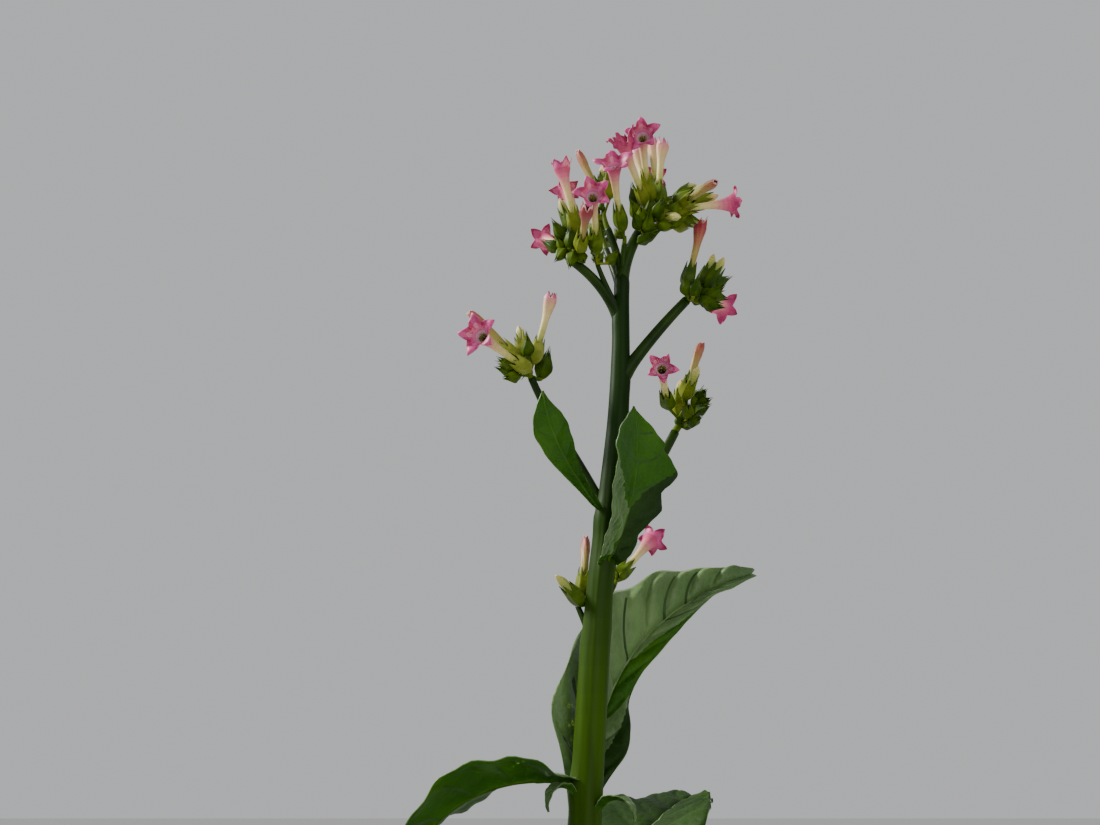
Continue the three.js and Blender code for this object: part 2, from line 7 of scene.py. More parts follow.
import bpy
import numpy as np
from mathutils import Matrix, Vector


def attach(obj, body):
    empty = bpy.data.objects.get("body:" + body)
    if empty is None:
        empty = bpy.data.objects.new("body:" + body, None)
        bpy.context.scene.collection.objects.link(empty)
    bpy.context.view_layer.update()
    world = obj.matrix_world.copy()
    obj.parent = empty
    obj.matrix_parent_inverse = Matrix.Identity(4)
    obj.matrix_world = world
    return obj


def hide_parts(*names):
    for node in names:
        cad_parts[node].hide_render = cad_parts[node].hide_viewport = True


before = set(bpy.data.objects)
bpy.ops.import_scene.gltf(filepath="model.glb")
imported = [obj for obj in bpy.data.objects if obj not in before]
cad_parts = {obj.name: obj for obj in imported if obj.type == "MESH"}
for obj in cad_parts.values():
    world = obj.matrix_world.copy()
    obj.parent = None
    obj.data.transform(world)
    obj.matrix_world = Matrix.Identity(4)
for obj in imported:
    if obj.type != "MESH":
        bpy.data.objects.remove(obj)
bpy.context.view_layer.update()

MM = 0.001
FULL_TURN = 2 * math.pi
GAP = 0.3
GOLDEN_TURN = 137.5

# The parts of a blade, by their places in its list of materials, and its halves. The last part is a deep
# green of painted shade.
UPPER, UNDER, RIB_ABOVE, RIB_BELOW, VEIN_ABOVE, VEIN_BELOW, PAINTED_SHADE_FACE = range(7)
NEAR, FAR = -1, 1

# The stem: how far its centre has leaned to the right, and how thick it is, by height.
STEM_TOP = 1577
FLARE_HEIGHT = 70
FLARE_GROWTH = 0.55
STEM_LEAN = [[0, 0], [600, 14], [1220, 58], [1349, 68], [1414, 76], [1476, 83], [1577, 87.5]]
STEM_RADIUS = [[0, 14.5], [600, 12.6], [1220, 9.6], [1300, 9.2], [1350, 8.3], [1476, 6.8], [1577, 4.6]]

# The spiral of big leaves.
LEAF_COUNT = 17
LOWEST_LEAF = 95
HIGHEST_LEAF = 1110
TOP_LEAF_AZIMUTH = 250
LEAF_LENGTH = [[0, 360], [300, 460], [650, 450], [1000, 350], [1150, 300]]
LEAF_WIDTH = [[0, 175], [300, 220], [650, 200], [1000, 145], [1150, 120]]
LEAF_RISE = [[0, 28], [400, 40], [1150, 38]]
LEAF_DROOP = [[0, -42], [400, -40], [1150, -44]]
LEAF_FOLD = 14
LEAF_WAVES = {
    "turn": (10, 2.4, 0), "rise": (5, 1.7, 0), "droop": (9, 2.9, 1), "length": (0.05, 3.3, 0),
    "width": (0.06, 2.2, 0), "roll": (14, 1.3, 0.5),
}

# Every blade's outline, how it droops and rolls, and how deep its foot is in the stem.
BASE_WIDTH = 0.24
WIDEST_AT = 0.45
WAIST = 1.35
TIP_FULLNESS = 1.7
TIP_POINT = 1.25
DROOP_EASE = 1.25
ROLLED_BY = 0.4
BASE_SUNK = 2


# The upper leaves, one by one. A leaf turns evenly from its base, droops more and more, rolls about its
# rib and folds its halves up from it, or down where the fold is below 0. Where the photograph shows more,
# a leaf has values of its own: widest, waist, tip_point, ends_at and lobed shape its outline, puff,
# pucker, crumple and ruffle size its bumps and waves, columns says how finely it is drawn across, and
# near_share, near_puff and near_dip, which is a place, a length and a depth, are for its near half.
# Patches are painted light and shade: each lays a face's colour over one half, from one share of the
# leaf's length to another.
def leaf_row(height, azimuth, turn, rise, droop, length, width, fold, roll, **more):
    return dict(height=height, azimuth=azimuth, turn=turn, rise=rise, droop=droop, length=length,
                width=width, fold=fold, roll=roll, **more)


UPPER_LEAVES = {
    # leaf_low_right: the deep face over both halves is painted shade on the whole leaf.
    "leaf_low_right": leaf_row(1150, 60, 0, 43, -3, 216, 92, 14, 0,
                               patches=[(NEAR, 0, 2, PAINTED_SHADE_FACE), (FAR, 0, 2, PAINTED_SHADE_FACE)]),
    "leaf_low_left": leaf_row(1243, 196, -4, 8, -94, 150, 66, 12, 24),
    # leaf_right: on its near half the underside's green is painted on the upper face as painted light shining
    # through the fold, and the deep face nearer the base is painted shade.
    "leaf_right": leaf_row(1208, 84, -82, 68, 14, 266, 100, 32, 58, widest=0.27, waist=4.0, near_share=0.48,
                           puff=2.0, near_puff=0.4, pucker=0.7, columns=16,
                           near_dip=(0.42, 0.14, 0.42), tip_point=0.97, ends_at=0.95,
                           patches=[(NEAR, 0.3, 0.62, UNDER), (NEAR, 0, 0.3, PAINTED_SHADE_FACE)]),
    # leaf_front: the upper face's grey-green on the crumpled near half is partly that face turned over and
    # partly a painted reflection, and the deep face on the far half's lower part is painted shade.
    "leaf_front": leaf_row(1371, 295, 3, 34, 110, 106, 72, -8, 27, widest=0.7, waist=1.4, near_share=0.8,
                           lobed=0.17, ruffle=0.012, pucker=0.9, columns=18, crumple=1.0,
                           patches=[(NEAR, 0.06, 0.52, UPPER), (FAR, 0.0, 0.52, PAINTED_SHADE_FACE)]),
    "leaf_left": leaf_row(1404, 228, -26, 33, 84, 88, 23, 6, 71, widest=0.72, waist=3.0),
    "leaf_small_left": leaf_row(1233, 222, 0, 60, -110, 34, 11, 24, 0),
    "leaf_small_right": leaf_row(1220, 330, 0, 84, -100, 40, 14, 20, 0),
}


# The boughs: height on the stem, azimuth, turn, rise, end rise, length, radius and end radius.
def bough_row(height, azimuth, turn, rise, tip_rise, length, radius, tip_radius):
    return dict(height=height, azimuth=azimuth, turn=turn, rise=rise, tip_rise=tip_rise, length=length,
                radius=radius, tip_radius=tip_radius)


BOUGHS = {
    "right_top": bough_row(1566, 0, 0, 82, 55, 49, 4.4, 3.4),
    "mid_top": bough_row(1566, 182, 0, 85, 70, 41, 3.0, 2.4),
    "front_top": bough_row(1564, 285, 0, 85, 65, 28, 2.4, 1.8),
    "back_top": bough_row(1560, 114, 0, 62, 61, 46, 3.2, 2.3),
    "left_top": bough_row(1534, 197, 0, 72, 30, 55, 4.0, 3.0),
    "left_inner": bough_row(1540, 212, 0, 55, 66, 38, 2.2, 1.6),
    "right": bough_row(1494, 3, 0, 56, 47, 75, 4.4, 3.2),
    "right_low": bough_row(1378, 24, 0, 55, 60, 103, 4.2, 3.0),
    "left": bough_row(1400, 146, 85, 66, 53, 107, 3.8, 2.4),
    "low_left": bough_row(1322, 150, 0, 62, 65, 27, 2.3, 1.7),
    "low_right": bough_row(1332, 40, 0, 68, 54, 32, 2.2, 1.6),
}
BOUGH_STEPS = 5

# The stages of a flower, each as [distance from its base, radius], for the room tests and for the frames
# of the blooms.
STAGES = {
    "young": [[0, 1.2], [6, 4.2], [17, 0.5]],
    "bud": [[0, 1.2], [4, 4.3], [12, 4.6], [19, 2.7], [28, 0.9]],
    "spent": [[0, 1.2], [4, 4.4], [12, 4.8], [19, 2.8], [36, 2.8], [46, 1.0]],
    "closed": [[0, 1.2], [4, 4.3], [12, 4.8], [19, 2.7], [30, 2.5], [43, 4.4], [54, 0.8]],
    "open": [[0, 1.2], [4, 4.5], [12, 5.1], [19, 2.9], [29, 2.5], [48, 4.5]],
}
LOBES = 5
LIMB_TIP = 53
LIMB_TIP_RADIUS = 11.6
LIMB_NOTCH = 51
LIMB_NOTCH_RADIUS = 7.5
STALK_BACK = 10


# The flower heads: their axes, and their blooms as (stage, right, away, up, azimuth, rise).
def head_row(length, azimuth, tip_rise, radius, seed, buds, spread, blooms):
    return dict(length=length, azimuth=azimuth, tip_rise=tip_rise, radius=radius, seed=seed, buds=buds,
                spread=spread, blooms=blooms)


HEADS = {
    "left_top": head_row(14, 180, 82, 2.6, 11, 4, 45, [
        ("open", -5, 2, 9, 110, 35), ("open", 3, -8, 15, 218, 74), ("open", 8, 14, 28, 125, 65),
        ("spent", 5, -11, 2, 274, 10), ("young", -6, -3, 15, 216, 46), ("young", -2, -10, 5, 260, 62),
        ("bud", 1, 5, 23, 202, 68), ("young", 1, -7, 3, 244, -68), ("young", -4, -4, 6, 222, -50),
        ("young", 5, -3, 5, 292, -54),
    ]),
    "left_inner": head_row(6, 215, 70, 1.5, 23, 0, 60, [
        ("open", -1, -10, 3, 264, 28), ("young", 2, 8, 6, 120, 60), ("young", 7, 3, 3, 30, 55),
    ]),
    "back_top": head_row(22, 112, 84, 2.1, 31, 8, 105, [
        ("spent", -2, 0, 39, 176, 68), ("bud", -1, 0, 46, 90, 75), ("bud", 4, 12, 12, 80, 40),
        ("young", -5, 10, 14, 120, 60),
    ]),
    "mid_top": head_row(12, 180, 86, 2.1, 43, 5, 85, [
        ("bud", 1, -6, 20, 20, 85), ("young", -6, 2, 12, 170, 60),
    ]),
    "front_top": head_row(5, 285, 84, 1.7, 47, 0, 60, [("open", -1, -6, 6, 258, 36)]),
    "right_top": head_row(26, 0, 12, 3.0, 57, 12, 80, [
        ("open", 2, -6, 7, 240, 37), ("open", 3, -10, 10, 254, 57), ("closed", 4, 8, 18, 138, 78),
        ("closed", 10, 14, 26, 100, 85), ("closed", 9, -8, 9, 0, 85), ("open", 9, 16, 15, 82, 60),
        ("bud", 22, 5, 20, 35, 45), ("spent", 23, -8, 7, 294, -6), ("open", 14, -12, 2, 15, 15),
        ("spent", 20, 4, -1, 50, 25), ("young", 1, -12, -4, 270, 50), ("young", -6, -4, 12, 180, 75),
        ("young", 5, -16, -6, 295, 40), ("young", 15, -10, -2, 330, 40), ("young", 16, -4, -6, 335, 30),
        ("young", 6, -12, -10, 325, -25), ("young", -3, -7, -12, 320, -5), ("young", -4, -9, -19, 320, 8),
        ("young", -6, -6, -19, 308, -8), ("young", -6, -12, -12, 246, 26), ("young", -1, -12, -15, 278, 36),
        ("young", -7, -10, -3, 240, 30), ("young", -4, -13, -7, 262, 14),
    ]),
    "right": head_row(16, 10, 25, 2.9, 61, 8, 70, [
        ("closed", -1, -6, 6, 8, 75), ("bud", 10, 2, 12, 15, 65), ("bud", 13, -3, 7, 5, 60),
        ("young", 7, -8, -3, 345, -18), ("open", 14, 5, 5, 65, 15), ("young", 3, -12, -3, 320, 75),
        ("young", 12, -8, -2, 320, 20), ("young", 10, -8, -6, 325, -20), ("young", 0, -9, -1, 190, 80),
    ]),
    "right_low": head_row(20, 0, 28, 2.6, 71, 6, 60, [
        ("open", -4, -8, 14, 258, 18), ("spent", 9, 2, 24, 18, 72), ("bud", 6, -6, 22, 288, 28),
        ("young", 13, -4, 15, 320, 56), ("young", 16, -2, 22, 290, 8), ("young", 16, -4, 18, 298, -2),
        ("young", 15, -6, 12, 294, -4), ("young", 9, -6, 3, 292, -4), ("young", 8, -9, 7, 268, 16),
    ]),
    "left": head_row(8, 190, 75, 2.0, 83, 3, 90, [
        ("open", 0, -6, 2, 224, 16), ("closed", -5, 4, 11, 176, 46), ("bud", -4, 7, 12, 170, 80),
        ("closed", 1, 0, 9, 358, 76), ("bud", 6, 8, 2, 10, 75), ("young", -10, -6, 3, 220, 14),
        ("young", -11, -2, 1, 220, 2), ("young", -8, -4, -1, 232, -22),
    ]),
    "low_left": head_row(4, 150, 60, 1.5, 97, 0, 60, [
        ("spent", 3, 2, 6, 80, 65), ("bud", 4, -2, 0, 220, 35),
    ]),
    "low_right": head_row(4, 40, 50, 1.5, 101, 1, 60, [
        ("open", 0, 4, 4, 45, 40), ("young", -3, 6, 5, 90, 60),
    ]),
}
HEAD_STEPS = 4
HEAD_TAPER = 0.7

# Seeded buds, by the solids' rule: their stalks, their leans in degrees, and how near they may come to the
# blooms of their own head, or to other heads and limbs, as a share of both radii.
SHORTEST_STALK = 4
LONGEST_STALK = 9
YOUNG_SHARE = 0.6
TOP_LEAN = 16
LEAN_VARIES = 14
TURN_VARIES = 40
OWN_CROWDING = 0.62
OTHER_CROWDING = 1.15
FIRST_LIMB = 1150
STEM_BALL_STEP = 8
SEED_FACTOR = 1664525
SEED_STEP = 1013904223
SEED_RANGE = 4294967296

# Finer buds, which only the looks have.
FINE_SEED = 500
FINE_EVERY = 0.7
FINE_SPREAD = 40
FINE_STALK = 1.5
FINE_CROWDING = 0.55
SMALLEST_BUD = 0.45
LARGEST_FINE_BUD = 0.75


def seeded(seed):
    """Seeded random numbers from 0 to 1, the same as the solids draw."""
    state = seed
    while True:
        state = (state * SEED_FACTOR + SEED_STEP) % SEED_RANGE
        yield state / SEED_RANGE


def mix(a, b, t):
    return a + (b - a) * t


def held(value, low, high):
    return min(max(value, low), high)


def rising(value, over):
    """From 0 to 1 while the value goes from 0 to over."""
    return np.clip(value / over, 0, 1)


def bell(value, width):
    """1 where the value is 0, and less and less on both sides."""
    return np.exp(-(value / width) ** 2)


def angles_round(count):
    return FULL_TURN * np.arange(count) / count


def along(table, place):
    """A smooth value between the [place, value] pairs of a short table."""
    i = 0
    while i < len(table) - 2 and place > table[i + 1][0]:
        i += 1

    def slope(k):
        a = table[max(k - 1, 0)]
        b = table[min(k + 1, len(table) - 1)]
        return (b[1] - a[1]) / (b[0] - a[0])

    (x0, y0), (x1, y1) = table[i], table[i + 1]
    h = x1 - x0
    t = held((place - x0) / h, 0, 1)
    return ((2 * t ** 3 - 3 * t ** 2 + 1) * y0 + (t ** 3 - 2 * t ** 2 + t) * slope(i) * h
            + (3 * t ** 2 - 2 * t ** 3) * y1 + (t ** 3 - t ** 2) * slope(i + 1) * h)


def vec(x, y, z):
    return np.array([x, y, z], float)


def unit(v):
    return v / np.linalg.norm(v)


def heading(azimuth, rise):
    a, e = math.radians(azimuth), math.radians(rise)
    return vec(math.cos(e) * math.cos(a), math.cos(e) * math.sin(a), math.sin(e))


def turned(v, axis, angle):
    """v turned about an axis by an angle in radians."""
    return (v * math.cos(angle) + np.cross(axis, v) * math.sin(angle)
            + axis * np.dot(axis, v) * (1 - math.cos(angle)))


def stem_centre(z):
    return vec(along(STEM_LEAN, z), 0, z)


def stem_radius(z):
    flare = max(0, 1 - z / FLARE_HEIGHT) ** 2
    return along(STEM_RADIUS, z) * (1 + FLARE_GROWTH * flare)


def limb_path(start, azimuth, turn, rise, tip_rise, length, steps):
    """A limb's centreline: it sets off one way and ends another, turning evenly between them."""
    points = [start]
    for i in range(steps):
        t = (i + 0.5) / steps
        points.append(points[-1] + heading(azimuth + turn * t, mix(rise, tip_rise, t)) * length / steps)
    return points


def point_on(points, distance):
    for a, b in zip(points, points[1:]):
        span = np.linalg.norm(b - a)
        if distance <= span:
            return mix(a, b, distance / span)
        distance -= span
    return points[-1]


def nearest_on(points, target):
    found = []
    for a, b in zip(points, points[1:]):
        t = np.dot(target - a, b - a) / np.dot(b - a, b - a)
        found.append(mix(a, b, held(t, 0, 1)))
    return min(found, key=lambda p: np.linalg.norm(p - target))


def bough_path(bough, steps=BOUGH_STEPS):
    return limb_path(stem_centre(bough["height"]), bough["azimuth"], bough["turn"], bough["rise"],
                     bough["tip_rise"], bough["length"], steps)


def head_path(name, steps=HEAD_STEPS):
    bough, head = BOUGHS[name], HEADS[name]
    points = bough_path(bough)
    azimuth = bough["azimuth"] + bough["turn"]
    turn = ((head["azimuth"] - azimuth + 540) % 360) - 180
    start = points[-1] + unit(points[-1] - points[-2]) * GAP
    return limb_path(start, azimuth, turn, bough["tip_rise"], head["tip_rise"], head["length"], steps)


def bloom_balls(bloom):
    size = bloom.get("size", 1)
    balls = [(bloom["base"] + bloom["axis"] * d * size, r * size) for d, r in STAGES[bloom["stage"]][1:]]
    if bloom["stage"] == "open":
        balls.append((bloom["base"] + bloom["axis"] * LIMB_TIP, LIMB_TIP_RADIUS))
    return balls


def limb_balls(points, radius, tip_radius):
    last = len(points) - 1
    balls = []
    for k in range(2 * last + 1):
        place = k / 2
        i = min(math.floor(place), last - 1)
        balls.append((mix(points[i], points[i + 1], place - i), mix(radius, tip_radius, place / last)))
    return balls


def collide(balls, others, share):
    return any(np.linalg.norm(a - b) < share * (ra + rb) for a, ra in balls for b, rb in others)


def crowded(balls, mine, others, own_share):
    own = [ball for one in mine for ball in bloom_balls(one)]
    return collide(balls, own, own_share) or collide(balls, others, OTHER_CROWDING)


def reach(balls):
    return (min(c[0] - r for c, r in balls), max(c[0] + r for c, r in balls),
            min(c[2] - r for c, r in balls), max(c[2] + r for c, r in balls))


def placed_bloom(axis_points, row):
    stage, right, away, up, azimuth, rise = row
    axis = heading(azimuth, rise)
    base = axis_points[0] + vec(right, away, up)
    root = nearest_on(axis_points, base - axis * STALK_BACK)
    return dict(stage=stage, root=root, axis=axis, base=base)


def sprouts(head, axis_points, random, count, spread):
    """Where a head's buds start and which way they stand, on all sides of its axis. The lowest ones lean
    out most, and each takes two draws before its own."""
    ahead = unit(axis_points[HEAD_STEPS] - axis_points[HEAD_STEPS - 1])
    across = unit(np.cross(vec(0, 1, 0.2), ahead))
    other = np.cross(ahead, across)
    for k in range(count):
        t = (k + 0.5) / count
        turn = math.radians(GOLDEN_TURN * k + TURN_VARIES * next(random))
        lean = math.radians(mix(spread, TOP_LEAN, t) + LEAN_VARIES * (next(random) - 0.5))
        axis = unit(ahead * math.cos(lean) + across * math.sin(lean) * math.cos(turn)
                    + other * math.sin(lean) * math.sin(turn))
        yield point_on(axis_points, head["length"] * t), axis


def seeded_blooms(head, axis_points):
    """The solids' seeded buds."""
    random = seeded(head["seed"])
    blooms = []
    for root, axis in sprouts(head, axis_points, random, head["buds"], head["spread"]):
        stage = "young" if next(random) < YOUNG_SHARE else "bud"
        stalk = mix(SHORTEST_STALK, LONGEST_STALK, next(random))
        blooms.append(dict(stage=stage, root=root, axis=axis, base=root + axis * stalk))
    return blooms


def finer_buds(head, axis_points):
    """Younger buds, smaller than any that the solids have, on short stalks along the head's axis."""
    random = seeded(head["seed"] + FINE_SEED)
    count = round(head["length"] * FINE_EVERY)
    blooms = []
    for root, axis in sprouts(head, axis_points, random, count, min(FINE_SPREAD, head["spread"])):
        base = root + axis * mix(FINE_STALK, SHORTEST_STALK, next(random))
        size = mix(SMALLEST_BUD, LARGEST_FINE_BUD, next(random))
        blooms.append(dict(stage="young", root=root, axis=axis, base=base, size=size))
    return blooms


def grow_heads():
    """Every head's blooms: the placed ones, and then the seeded ones and finer buds that have room."""
    limbs = []
    for bough in BOUGHS.values():
        limbs += limb_balls(bough_path(bough), bough["radius"], bough["tip_radius"])
    limbs += [(stem_centre(z), stem_radius(z)) for z in range(FIRST_LIMB, STEM_TOP + 1, STEM_BALL_STEP)]
    grown = {}
    for name, head in HEADS.items():
        axis_points = head_path(name)
        grown[name] = [placed_bloom(axis_points, row) for row in head["blooms"]]
    for name, head in HEADS.items():
        mine = grown[name]
        others = limbs + [ball for other, blooms in grown.items() if other != name
                          for bloom in blooms for ball in bloom_balls(bloom)]
        left, right, low, high = reach([ball for bloom in mine for ball in bloom_balls(bloom)])
        axis_points = head_path(name)
        candidates = [(bloom, OWN_CROWDING) for bloom in seeded_blooms(head, axis_points)]
        candidates += [(bloom, FINE_CROWDING) for bloom in finer_buds(head, axis_points)]
        for bloom, own_share in candidates:
            balls = bloom_balls(bloom)
            its_left, its_right, its_low, its_high = reach(balls)
            inside = its_left > left and its_right < right and its_low > low and its_high < high
            if inside and not crowded(balls, mine, others, own_share):
                mine.append(bloom)
    return grown


def spiral_leaves():
    leaves = {}
    for i in range(LEAF_COUNT):
        wave = {key: size * math.sin(step * i + start) for key, (size, step, start) in LEAF_WAVES.items()}
        height = mix(LOWEST_LEAF, HIGHEST_LEAF, i / (LEAF_COUNT - 1))
        leaves[f"leaf_{i + 1:02d}"] = leaf_row(
            height, TOP_LEAF_AZIMUTH + GOLDEN_TURN * (LEAF_COUNT - 1 - i), wave["turn"],
            along(LEAF_RISE, height) + wave["rise"], along(LEAF_DROOP, height) + wave["droop"],
            along(LEAF_LENGTH, height) * (1 + wave["length"]),
            along(LEAF_WIDTH, height) * (1 + wave["width"]), LEAF_FOLD, wave["roll"])
    return leaves


class Shell:
    """Gathers the ringed bodies of one joined piece, each face with the number of its material."""

    def __init__(self):
        self.points, self.quads, self.tris, self.quad_tints, self.tri_tints = [], [], [], [], []
        self.total = 0

    def tube(self, rows, tints, near=None, far=None):
        """A body of rings of equal length with closed ends. Its tint is one for all, or goes by ring, or by
        ring and side. An end has the tint of the faces beside it, unless it is given one."""
        rows, tints = np.asarray(rows, float), np.asarray(tints)
        count, size = rows.shape[:2]
        tints = np.broadcast_to(tints[:, None] if tints.ndim == 1 else tints, (count - 1, size))
        start = self.total
        self.points.append(rows.reshape(-1, 3))
        self.total += count * size
        i = np.arange(count - 1)[:, None] * size + start
        j = np.arange(size)[None, :]
        after = (j + 1) % size
        self.quads.append(np.stack([i + j, i + after, i + size + after, i + size + j], -1).reshape(-1, 4))
        self.quad_tints.append(tints.reshape(-1))
        self.cap(rows[0], start, tints[0, 0] if near is None else near, False)
        self.cap(rows[-1], start + (count - 1) * size, tints[-1, 0] if far is None else far, True)

    def cap(self, ring, ring_start, tint, far):
        """A fan that closes a body's far end, or its near one, where it faces the other way."""
        size = len(ring)
        here = ring_start + np.arange(size)
        after = ring_start + (np.arange(size) + 1) % size
        pair = (here, after) if far else (after, here)
        self.points.append(ring.mean(0)[None])
        self.tris.append(np.stack([*pair, np.full(size, self.total)], -1))
        self.tri_tints.append(np.full(size, tint))
        self.total += 1

    def piece(self, name, materials, replaced, slot):
        points = np.concatenate(self.points) * MM
        faces = [face for block in self.quads + self.tris for face in block.tolist()]
        tints = np.concatenate(self.quad_tints + self.tri_tints).astype(np.int32)
        mesh = bpy.data.meshes.new(name)
        mesh.from_pydata(points.tolist(), [], faces)
        mesh.polygons.foreach_set("material_index", tints)
        mesh.polygons.foreach_set("use_smooth", np.ones(len(faces), bool))
        for material in materials:
            mesh.materials.append(material)
        mesh.update()
        piece = shown(name, mesh)
        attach(piece, "root")
        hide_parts(*replaced)


def shown(name, data):
    """An object of the scene with this data."""
    thing = bpy.data.objects.new(name, data)
    bpy.context.scene.collection.objects.link(thing)
    return thing


def frames_along(points):
    """The way across and the way up at each point of a centreline."""
    side = vec(0, 1, 0.01)
    last = len(points) - 1
    sides, ups = [], []
    for i in range(len(points)):
        tangent = unit(points[min(i + 1, last)] - points[max(i - 1, 0)])
        side = unit(side - tangent * np.dot(side, tangent))
        sides.append(side)
        ups.append(np.cross(tangent, side))
    return np.array(sides), np.array(ups)


def rings_along(points, radii, count):
    """Rings round a centreline. The radii go by ring, or by ring and side."""
    points = np.asarray(points)
    sides, ups = frames_along(points)
    a = angles_round(count)
    radii = np.asarray(radii, float)
    if radii.ndim == 1:
        radii = np.repeat(radii[:, None], count, 1)
    out = sides[:, None, :] * np.cos(a)[None, :, None] + ups[:, None, :] * np.sin(a)[None, :, None]
    return points[:, None, :] + out * radii[:, :, None]


def curve_between(start, leave, end, arrive, steps):
    """A smooth curve that leaves one point and arrives at another in given directions."""
    t = np.linspace(0, 1, steps)[:, None]
    return ((2 * t ** 3 - 3 * t ** 2 + 1) * start + (t ** 3 - 2 * t ** 2 + t) * leave
            + (3 * t ** 2 - 2 * t ** 3) * end + (t ** 3 - t ** 2) * arrive)


# Colours.
def linear(colour):
    """A colour from its 0 to 255 screen values, by the screen's standard curve."""
    return np.array([((c / 255 + 0.055) / 1.055) ** 2.4 if c > 10 else c / 255 / 12.92 for c in colour])


LIGHT_THROUGH_DEPTH = 0.002
LIGHT_THROUGH_RADIUS = (0.8, 1.0, 0.3)


def principled(name, base, roughness, specular=0.4, sheen=0.0, through=0.0):
    material = bpy.data.materials.new(name)
    material.use_nodes = True
    entries = material.node_tree.nodes["Principled BSDF"].inputs
    entries["Base Color"].default_value = (*base, 1)
    entries["Roughness"].default_value = roughness
    entries["Specular IOR Level"].default_value = specular
    entries["Sheen Weight"].default_value = sheen
    entries["Subsurface Weight"].default_value = through
    entries["Subsurface Scale"].default_value = LIGHT_THROUGH_DEPTH
    entries["Subsurface Radius"].default_value = LIGHT_THROUGH_RADIUS
    return material


def add(material, kind, **values):
    node = material.node_tree.nodes.new(kind)
    for key, value in values.items():
        if hasattr(node, key):
            setattr(node, key, value)
        else:
            node.inputs[key].default_value = value
    return node


def join(material, source, output, target, entry):
    material.node_tree.links.new(source.outputs[output], target.inputs[entry])


def object_places(material, stretch):
    """Object coordinates, scaled by axis."""
    places = add(material, "ShaderNodeTexCoord")
    mapping = add(material, "ShaderNodeMapping", Scale=stretch)
    join(material, places, "Object", mapping, "Vector")
    return mapping


def noise(material, places, scale, detail):
    node = add(material, "ShaderNodeTexNoise", Scale=scale, Detail=detail)
    join(material, places, "Vector", node, "Vector")
    return node


def ramp(material, source, output, stops):
    node = add(material, "ShaderNodeValToRGB")
    points = node.color_ramp.elements
    while len(points) < len(stops):
        points.new(0.5)
    for point, (place, colour) in zip(points, stops):
        point.position = place
        point.color = (*colour, 1)
    join(material, source, output, node, "Fac")
    return node


def bumped(material, source, output, strength, depth, under=None):
    node = add(material, "ShaderNodeBump", Strength=strength, Distance=depth)
    join(material, source, output, node, "Height")
    if under is not None:
        join(material, under, "Normal", node, "Normal")
    return node


def finish_with(material, colour, normal):
    shader = material.node_tree.nodes["Principled BSDF"]
    join(material, colour, "Color", shader, "Base Color")
    join(material, normal, "Normal", shader, "Normal")
    return material


def blade_material(name, greens, net_share, roughness, sheen, through, specular=0.35):
    """A leaf blade: patches of green, a net of fine veins, and the pucker between them."""
    deep, mid, light, net_colour = (linear(green) for green in greens)
    material = principled(name, mid, roughness, specular, sheen, through)
    places = object_places(material, stretch=(1, 1, 1))
    patches = noise(material, places, scale=22.0, detail=4.0)
    green = ramp(material, patches, "Fac", [(0.3, deep), (0.5, mid), (0.7, light)])
    cells = add(material, "ShaderNodeTexVoronoi", feature="DISTANCE_TO_EDGE", Scale=150.0)
    warp = noise(material, places, scale=90.0, detail=2.0)
    shifted = add(material, "ShaderNodeVectorMath", operation="MULTIPLY_ADD")
    shifted.inputs[1].default_value = (0.006, 0.006, 0.006)
    join(material, warp, "Color", shifted, 0)
    join(material, places, "Vector", shifted, 2)
    join(material, shifted, "Vector", cells, "Vector")
    lines = ramp(material, cells, "Distance", [(0.0, (1, 1, 1)), (0.09, (0, 0, 0))])
    share = add(material, "ShaderNodeMath", operation="MULTIPLY")
    share.inputs[1].default_value = net_share
    join(material, lines, "Color", share, 0)
    blend = add(material, "ShaderNodeMixRGB", Color2=(*net_colour, 1))
    join(material, share, "Value", blend, "Fac")
    join(material, green, "Color", blend, "Color1")
    net = bumped(material, cells, "Distance", strength=0.5, depth=0.0012)
    grain = noise(material, places, scale=900.0, detail=2.0)
    relief = bumped(material, grain, "Fac", strength=0.25, depth=0.0003, under=net)
    return finish_with(material, blend, relief)


def linear_mottled(name, deep, light, scale, roughness, stretch=(1, 1, 1), grain=600.0, sheen=0.1,
                   through=0.0, specular=0.4):
    """Soft patches between two linear colours, with a fine grain."""
    material = principled(name, mix(deep, light, 0.5), roughness, specular, sheen, through)
    places = object_places(material, stretch)
    spots = noise(material, places, scale, detail=4.0)
    patches = ramp(material, spots, "Fac", [(0.35, deep), (0.65, light)])
    grains = noise(material, places, grain, detail=2.0)
    return finish_with(material, patches, bumped(material, grains, "Fac", strength=0.25, depth=0.0004))


def mottled(name, deep, light, scale, roughness, **finish):
    """The same between two colours by their screen values."""
    return linear_mottled(name, linear(deep), linear(light), scale, roughness, **finish)


def shades(name, keys, count, spread=0.07, **finish):
    """Materials that pass evenly through a list of key colours."""
    keys = [linear(key) for key in keys]
    made = []
    for i in range(count):
        place = i / (count - 1) * (len(keys) - 1)
        k = min(int(place), len(keys) - 2)
        colour = mix(keys[k], keys[k + 1], place - k)
        made.append(linear_mottled(f"{name}_{i + 1}", colour * (1 - spread), colour * (1 + spread),
                                   scale=140.0, roughness=0.5, **finish))
    return made


